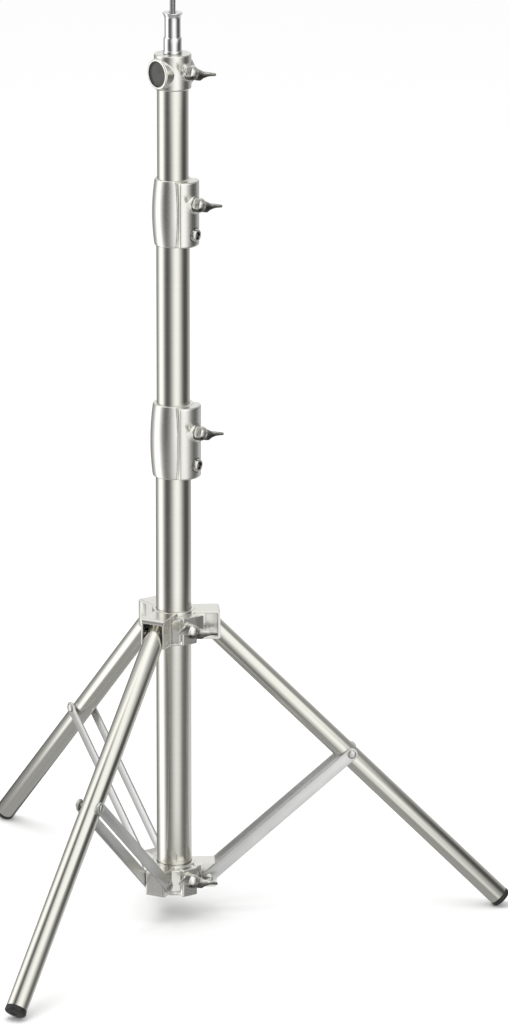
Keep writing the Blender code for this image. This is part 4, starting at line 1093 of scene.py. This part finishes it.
# %% [markdown]
# ## Lock collars
# A collar is a slightly barrelled sleeve with a broad upright lobe down one side. The lobe
# carries the fixing bolt at the bottom and the wing screw's round boss near the top. It is
# a thick disc set beside the mast's axis, with two leaning saw cuts for its flanks. Sleeve,
# lobe and boss are melted together and the stepped bore is cut afterwards.

# %% Two lock collars
RIM_CHAMFER = 0.0007
LOBE_FLANK_LEAN = math.radians(22.0)
BOSS_R = 0.0090
BOSS_SWELLING = 0.0042
BOLT_SEAT_R = 0.0076
BOLT_SEAT_DEPTH = 0.0020
SLEEVE_STATIONS = 20
COLLAR_VOXEL = 0.00048
COLLAR_PASSES = 8


def finish_casting(piece, node):
    shade(piece, 40.0)
    hand_over(piece, node, nickel_finish)


def sleeve_section(low, height, end_r, belly_r):
    high = low + height
    top_r = end_r - 0.0004
    section = [(0.0, low), (end_r - RIM_CHAMFER, low)]
    for station in range(SLEEVE_STATIONS + 1):
        share = station / SLEEVE_STATIONS
        z = low + RIM_CHAMFER + (height - 2 * RIM_CHAMFER) * share
        base = end_r + (top_r - end_r) * share
        swell = belly_r - (end_r + top_r) / 2
        section.append((base + swell * math.sin(math.pi * share) ** 0.8, z))
    return section + [(top_r - RIM_CHAMFER, high), (0.0, high)]


def lobe_form(low, height, lobe_r, reach, half_width):
    centre = reach - lobe_r
    high = low + height
    lobe = turned_piece("lobe", [
        (0.0, low + 0.0008), (lobe_r - 0.0012, low + 0.0008), (lobe_r, low + 0.0020),
        (lobe_r, high - 0.0020), (lobe_r - 0.0012, high - 0.0008), (0.0, high - 0.0008),
    ], steps=128)
    place(lobe, Matrix.Translation((centre, 0.0, 0.0)))
    flank = centre + math.sqrt(lobe_r ** 2 - half_width ** 2)
    for side in (1.0, -1.0):
        direction = (-math.sin(LOBE_FLANK_LEAN), side * math.cos(LOBE_FLANK_LEAN), 0.0)
        saw_off(lobe, (flank, side * half_width, 0.0), direction)
    return place(lobe, polar(COLLAR_LINE))


def boss_form(radius, inner, reach, azimuth, height, swelling=0.0):
    """The round boss under a wing screw, with a foot that may swell into the casting."""
    root = radius + swelling
    boss = turned_piece("boss", [
        (0.0, inner), (root, inner), (root, reach - 0.0078),
        (radius + swelling * 0.55, reach - 0.0040), (radius, reach - 0.0010),
        (radius - 0.0004, reach - 0.0003), (radius - 0.0012, reach), (0.0, reach),
    ], steps=64)
    return point_out(boss, azimuth, height)


def lock_collar(node, low, height, end_r, belly_r, bore_r, slide_r, step_z,
                lobe_r, lobe_reach, lobe_half, bolt_rise, wing_rise):
    sleeve = turned_piece("sleeve", sleeve_section(low, height, end_r, belly_r), steps=128)
    lobe = lobe_form(low, height, lobe_r, lobe_reach, lobe_half)
    boss_z = low + wing_rise
    boss = boss_form(
        BOSS_R, slide_r + 0.002, lobe_reach + 0.0006, COLLAR_LINE, boss_z, BOSS_SWELLING
    )
    body = cast(gather([sleeve, lobe, boss], f"{node}_cast"), COLLAR_VOXEL, COLLAR_PASSES)
    below, above = low - 0.001, low + height + 0.001
    wide, narrow = bore_r + RUNNING_GAP, slide_r + RUNNING_GAP
    bore = turned_piece("bore", [
        (0.0, below), (wide, below), (wide, step_z),
        (narrow, step_z), (narrow, above), (0.0, above),
    ], steps=128)
    cut_away(body, [bore])
    outside = lobe_reach + 0.004
    cut_away(body, [
        drill(BOLT_SEAT_R, lobe_reach - BOLT_SEAT_DEPTH, outside, COLLAR_LINE, low + bolt_rise),
        drill(SCREW_HOLE_R, slide_r - 0.004, outside, COLLAR_LINE, boss_z),
    ])
    finish_casting(body, node)


lock_collar(
    "lower_collar", low=0.4403, height=0.0754, end_r=0.0206, belly_r=0.0230, bore_r=0.0177,
    slide_r=0.0166, step_z=0.4733, lobe_r=0.0210, lobe_reach=0.0292, lobe_half=0.0170,
    bolt_rise=0.0147, wing_rise=0.0483,
)
lock_collar(
    "upper_collar", low=0.6770, height=0.0675, end_r=0.0183, belly_r=0.0206, bore_r=0.0166,
    slide_r=0.0155, step_z=0.7073, lobe_r=0.0195, lobe_reach=0.0274, lobe_half=0.0155,
    bolt_rise=0.0130, wing_rise=0.0440,
)

# %% [markdown]
# The fixing bolts are button heads with a six-sided socket. The dome is turned, and the
# socket is cut with a six-sided bar.

# %% Fixing bolts
BOLT_HEAD = 0.0050


def button_bolt(node, z, lobe_reach, tip):
    seat = lobe_reach - BOLT_SEAT_DEPTH + RUNNING_GAP
    bolt = turned_piece(f"{node}_turned", [
        (0.0, tip), (0.0034, tip), (0.0040, tip + 0.0006), (0.0040, seat), (0.0068, seat),
        (0.0070, seat + 0.0003), (0.0069, seat + 0.0016), (0.0064, seat + 0.0031),
        (0.0056, seat + 0.0043), (0.0050, seat + 0.0049), (0.0046, seat + BOLT_HEAD),
        (0.0042, seat + 0.0046), (0.0, seat + 0.0046),
    ], steps=64)
    cut_away(bolt, [round_bar("socket", 0.0042, seat + BOLT_HEAD - 0.0026, seat + 0.006, sides=6)])
    shade(bolt, 35.0)
    hand_over(point_out(bolt, COLLAR_LINE, z), node, bolt_finish)


button_bolt("lower_collar_bolt", 0.4550, 0.0292, 0.0180)
button_bolt("upper_collar_bolt", 0.6900, 0.0274, 0.0169)

# %% [markdown]
# ## Head
# The head is a short upright barrel crossed by a second, lying barrel: the side socket.
# Its mouth faces the camera's left and is closed by a dark disc. The three forms are
# melted together and the mouth, the stud's bore and the seat for the tube are cut crisply.

# %% Head casting and its disc
HEAD_LOW = 0.8340
HEAD_HIGH = 0.8690
BARREL_R = 0.0184
SIDE_R = 0.0154
SIDE_MOUTH = 0.0200
MOUTH_R = 0.0130
MOUTH_DEPTH = 0.0036
SOCKET_LINE = math.radians(216.0)
SOCKET_Z = 0.8505
HEAD_VOXEL = 0.00042
CASTING_PASSES = 6

barrel = turned_piece("barrel", [
    (0.0, HEAD_LOW), (0.0172, HEAD_LOW), (BARREL_R, HEAD_LOW + 0.0012),
    (BARREL_R, HEAD_HIGH - 0.0008), (0.0176, HEAD_HIGH), (0.0, HEAD_HIGH),
], steps=128)
side_barrel = turned_piece("side_barrel", [
    (0.0, -0.0185), (0.0130, -0.0185), (SIDE_R, -0.0161), (SIDE_R, 0.0188),
    (0.0147, SIDE_MOUTH), (0.0, SIDE_MOUTH),
], steps=96)
point_out(side_barrel, SOCKET_LINE, SOCKET_Z)
head_boss = boss_form(0.0082, 0.0110, 0.0205, HEAD_WING_LINE, HEAD_WING_Z)
head = gather([barrel, side_barrel, head_boss], "head_casting_cast")
cast(head, HEAD_VOXEL, CASTING_PASSES)
cut_away(head, [drill(MOUTH_R, SIDE_MOUTH - MOUTH_DEPTH, 0.0220, SOCKET_LINE, SOCKET_Z, sides=96)])
cut_away(head, [
    round_bar("seat", 0.0158, HEAD_LOW - 0.002, HEAD_LOW + 0.0103, sides=96),
    round_bar("stud_bore", 0.0082, HEAD_LOW + 0.009, HEAD_HIGH + 0.002),
])
cut_away(head, [drill(SCREW_HOLE_R, 0.0059, 0.0230, HEAD_WING_LINE, HEAD_WING_Z)])
finish_casting(head, "head_casting")

disc = turned_piece("head_socket_plug_moulded", [
    (0.0, 0.0167), (0.0127, 0.0167), (0.0127, 0.0186), (0.0124, 0.0188), (0.0119, 0.0188),
    (0.0116, 0.0186), (0.0112, 0.0179), (0.0060, 0.0177), (0.0, 0.01765),
], steps=96)
shade(disc)
hand_over(point_out(disc, SOCKET_LINE, SOCKET_Z), "head_socket_plug", disc_finish)

# %% [markdown]
# ## Stud and its screw
# The stud is turned and chromed: a flange on the head, a thicker body, a neck for the
# clamp, and a rim that flares out to a thin edge. The screw in its top has a real spiral
# thread. A saw-tooth is drawn and swept up a helix by the Screw modifier, and a pointed
# blank trims its ends.

# %% Stud and spiral screw
STUD_Z = HEAD_HIGH + RUNNING_GAP
SHANK_LOW = HEAD_HIGH - 0.0210
FLANGE_R = 0.0096
BODY_R = 0.0089
NECK_R = 0.0079
SCREW_SEAT_R = 0.0036
stud = turned_piece("stud_turned", [
    (0.0, SHANK_LOW), (0.0071, SHANK_LOW), (NECK_R, HEAD_HIGH - 0.0202),
    *((radius, STUD_Z + height) for radius, height in (
        (NECK_R, 0.0), (0.0093, 0.0), (FLANGE_R, 0.0003), (FLANGE_R, 0.0018), (0.0093, 0.0026),
        (BODY_R, 0.0030), (BODY_R, 0.0147), (0.0086, 0.0153), (NECK_R, 0.0162),
        (NECK_R, 0.0348), (0.0080, 0.0356), (0.0086, 0.0372), (0.0099, 0.0396),
        (0.0100, 0.0399), (0.0099, 0.0402), (0.0096, 0.0404), (0.0046, 0.0404),
        (0.0042, 0.0400), (SCREW_SEAT_R, 0.0400), (SCREW_SEAT_R, 0.0300), (0.0, 0.0300),
    )),
], steps=96)
shade(stud, 30.0)
hand_over(stud, "stud", chrome_finish)

SCREW_R = 0.0031
SCREW_PITCH = 0.00127
SCREW_LOW, SCREW_HIGH = (corner.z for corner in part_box("stud_camera_screw"))


def spiral_screw(name, radius, pitch, low, high):
    root_r = radius - pitch * 0.55
    thread = lone_point("thread", root_r, low - 2 * pitch)
    for step in ((radius - root_r, 0.0, pitch * 0.42), (0.0, 0.0, pitch * 0.16),
                 (root_r - radius, 0.0, pitch * 0.42)):
        pull_out(step)
    close_up()
    sweep = thread.modifiers.new("Spiral", "SCREW")
    sweep.axis = "Z"
    sweep.angle = math.tau
    sweep.screw_offset = pitch
    sweep.iterations = int((high - low) / pitch) + 5
    sweep.steps = 40
    sweep.render_steps = 40
    sweep.use_merge_vertices = True
    sweep.merge_threshold = 0.000002
    run_machine(thread, sweep)
    open_up(thread)
    bpy.ops.mesh.remove_doubles(threshold=0.000002)
    bpy.ops.mesh.select_all(action="DESELECT")
    bpy.ops.mesh.select_non_manifold()
    bpy.ops.mesh.fill()
    face_outwards(thread)
    blank = turned_piece(name, [
        (0.0, low), (radius - 0.0002, low), (radius + 0.0002, low + 0.0004),
        (radius + 0.0002, high - pitch * 0.9), (radius - pitch * 0.65, high), (0.0, high),
    ], steps=64)
    return cut_away(blank, [thread], "INTERSECT", "EXACT")


camera_screw = spiral_screw(
    "stud_camera_screw_threaded", SCREW_R, SCREW_PITCH, SCREW_LOW, SCREW_HIGH
)
print("screw faces", len(camera_screw.data.polygons))
shade(camera_screw, 40.0)
hand_over(camera_screw, "stud_camera_screw", screw_finish)

# %% [markdown]
# ## Leg brackets
# The upper bracket is a ring on the mast with three hoods, one over the top of each leg.
# Each hood is a block with a wide slot cut from below and a shallow framed panel on
# both cheeks. Between two hoods stands a square pillar for the wing screw, joined to both
# by a flat wall. The lower bracket has the same pillar and a solid lug between each
# pair of bars.

# %% Upper bracket with its three hoods
CROWN_LOW = 0.2670
CROWN_HIGH = 0.3010
RING_R = 0.0216
BORE_R = 0.0181
ARM_ROOT = 0.0110
HOOD_REACH = 0.0465
HOOD_HALF = 0.0130
HOOD_GAP = 0.0108
HOOD_ROOF = 0.0052
HOOD_LOW = 0.2712
PANEL_BORDER = 0.0024
PANEL_DEPTH = 0.0007
PILLAR_ROOT = 0.0120
PILLAR_REACH = 0.0302
PILLAR_HALF = 0.0090
WEB_TAPER = 0.29
BRACKET_VOXEL = 0.00052
# Where the hole for a bracket's wing screw starts and ends, from the mast's axis
SCREW_HOLE = (0.0140, 0.0380)


def upright_corner(reach, half):
    """Finds the upright edges at the two outer corners of an arm."""
    def wanted(a, b):
        at_corner = min(a.x, b.x) > reach - 0.0005 and abs(a.y) > half - 0.0001
        return at_corner and abs(a.z - b.z) > 0.005
    return wanted


def hood(index):
    body = block("hood", (ARM_ROOT, -HOOD_HALF, HOOD_LOW), (HOOD_REACH, HOOD_HALF, CROWN_HIGH))
    round_edges(body, lambda a, b: min(a.x, b.x) > 0.04 and min(a.z, b.z) > 0.30, 0.0030, 5)
    round_edges(body, lambda a, b: min(a.x, b.x) > 0.04 and max(a.z, b.z) < 0.28, 0.0022, 4)
    round_edges(body, upright_corner(HOOD_REACH, HOOD_HALF), 0.0018, 1)
    slot = block("slot", (RING_R + 0.0006, -HOOD_GAP, CROWN_LOW - 0.005),
                 (HOOD_REACH + 0.005, HOOD_GAP, CROWN_HIGH - HOOD_ROOF))
    cut_away(body, [slot])
    return place(body, polar(third_turn(index)))


def pillar_form(low, high):
    """The upright block under a bracket's wing screw."""
    body = block("pillar", (PILLAR_ROOT, -PILLAR_HALF, low), (PILLAR_REACH, PILLAR_HALF, high))
    round_edges(body, lambda a, b: min(a.x, b.x) > 0.03 and abs(a.z - b.z) > 0.005, 0.0014, 3)
    return place(body, polar(BRACKET_LINE))


def web_form(corner_radius, corner_half, low, high):
    """The wall from the pillar to the arms on its two sides, pulled out of a block."""
    front = PILLAR_REACH - 0.0032
    turn = math.radians(60.0)
    along = corner_radius * math.cos(turn) + corner_half * math.sin(turn)
    across = corner_radius * math.sin(turn) - corner_half * math.cos(turn)
    wall = block("web", (PILLAR_ROOT, -PILLAR_HALF, low), (front, PILLAR_HALF, high))
    for side in (1.0, -1.0):
        choose_faces(wall, lambda centre, normal: normal.y * side > 0.9)
        pull_out((along - front, side * (across - PILLAR_HALF), 0.0))
        corner = (along, side * across, 0.0)
        bpy.ops.transform.resize(value=(WEB_TAPER, 1.0, 1.0), center_override=corner)
        close_up()
    face_outwards(wall)
    return place(wall, polar(BRACKET_LINE))


def cast_bracket(name, forms, arm, bore_low, bore_high):
    """Melts the ring, pillar, web and three arms together and bores them for the mast."""
    body = cast(gather(forms + [arm(i) for i in range(3)], name), BRACKET_VOXEL, CASTING_PASSES)
    return cut_away(body, [round_bar("bore", BORE_R, bore_low, bore_high, sides=96)])


ring = turned_piece("ring", [
    (0.0, CROWN_LOW), (RING_R - 0.0008, CROWN_LOW), (RING_R, CROWN_LOW + 0.0008),
    (RING_R, CROWN_HIGH), (RING_R - 0.0006, CROWN_HIGH + 0.0006), (0.0, CROWN_HIGH + 0.0006),
], steps=128)
crown_forms = [
    ring, pillar_form(0.2700, 0.2985), web_form(HOOD_REACH - 0.0171, HOOD_HALF, 0.2730, 0.2968)
]
crown = cast_bracket("crown_bracket_cast", crown_forms, hood, CROWN_LOW - 0.004, CROWN_HIGH + 0.004)


def panel_cutter(index, side):
    """A shallow tray with eased edges, pressed into a hood's cheek."""
    faces = (side * (HOOD_HALF - PANEL_DEPTH), side * (HOOD_HALF + 0.0010))
    low = (LEG_PIVOT[0] - 0.0066, min(faces), HOOD_LOW + PANEL_BORDER)
    high = (HOOD_REACH - PANEL_BORDER, max(faces), CROWN_HIGH - PANEL_BORDER)
    tray = block("tray", low, high)
    ease_edges(tray, 0.0005, segments=3)
    return place(tray, polar(third_turn(index)))


def pin_hole_cutter(index):
    hole = round_bar("pin_hole", 0.0032, -0.016, 0.016, sides=40)
    stand = polar(third_turn(index)) @ Matrix.Translation(LEG_PIVOT)
    return place(hole, stand @ lying_along_y(1.0))


cut_away(crown, [panel_cutter(i, s) for i in range(3) for s in (1.0, -1.0)])
screw_hole = drill(SCREW_HOLE_R, *SCREW_HOLE, BRACKET_LINE, CROWN_WING_Z)
cut_away(crown, [pin_hole_cutter(i) for i in range(3)] + [screw_hole])
finish_casting(crown, "crown_bracket")

# %% [markdown]
# The lugs of the lower bracket are rounded at their outer ends. They are solid because
# the bars run outside them, one on each side.

# %% Lower bracket with its three lugs
LUG_LOW = 0.0055
LUG_HIGH = 0.0314
LUG_REACH = 0.0430
LUG_HALF = 0.0105
SLIDE_LOW = 0.0006
SLIDE_HIGH = 0.0318
SLIDE_R = 0.0223
SLIDE_HOLE_Z = 0.0190


def lug(index):
    body = block("lug", (ARM_ROOT, -LUG_HALF, LUG_LOW), (LUG_REACH, LUG_HALF, LUG_HIGH))
    round_edges(body, lambda a, b: min(a.x, b.x) > 0.04 and abs(a.z - b.z) < 0.001, 0.0028, 5)
    round_edges(body, upright_corner(LUG_REACH, LUG_HALF), 0.0016, 1)
    return place(body, polar(third_turn(index)))


slide_ring = turned_piece("slide_ring", [
    (0.0, SLIDE_LOW), (SLIDE_R - 0.0008, SLIDE_LOW), (SLIDE_R, SLIDE_LOW + 0.0008),
    (SLIDE_R, SLIDE_HIGH - 0.0008), (SLIDE_R - 0.0008, SLIDE_HIGH), (0.0, SLIDE_HIGH),
], steps=128)
slide_forms = [
    slide_ring, pillar_form(0.0016, 0.0306), web_form(LUG_REACH - 0.0165, LUG_HALF, 0.0068, 0.0294)
]
spreader = cast_bracket("spreader_bracket_cast", slide_forms, lug, -0.004, 0.036)
cut_away(spreader, [drill(SCREW_HOLE_R, *SCREW_HOLE, BRACKET_LINE, SLIDE_HOLE_Z)])
finish_casting(spreader, "spreader_bracket")

# %% [markdown]
# ## Inside pieces
# Guides, lock pads and pins hardly show. Their plain solids stay, and only their finish
# is changed, so that nothing looks unfinished when the stand is drawn out or folded.

# %% Finishes for the pieces that stay
NYLON_PIECES = (
    "middle_tube_bush", "top_tube_bush", "lower_collar_pad", "upper_collar_pad", "head_pad",
    "crown_pad", "spreader_pad",
)
inside_finish = {node: nylon_finish for node in NYLON_PIECES}
inside_finish["head_fixing_pin"] = pin_finish
for name in LEG_NAMES:
    inside_finish[f"leg_rivet_{name}"] = pin_finish
    inside_finish[f"leg_pivot_pin_{name}"] = nickel_finish
for node, material in inside_finish.items():
    solid = frame["nodes"][node]
    solid.data.materials.clear()
    solid.data.materials.append(material)
stood_for = {node for piece in made_pieces for node in piece["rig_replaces"]}
left_over = set(frame["nodes"]) - stood_for - set(inside_finish)
print("inside pieces", len(inside_finish), "without a finish", sorted(left_over))

# %% [markdown]
# ## Closing
# The box of the frame is printed.

# %% Print the frame's box and finish
print("cad box", [round(c, 5) for c in (*cad_low, *cad_high)])
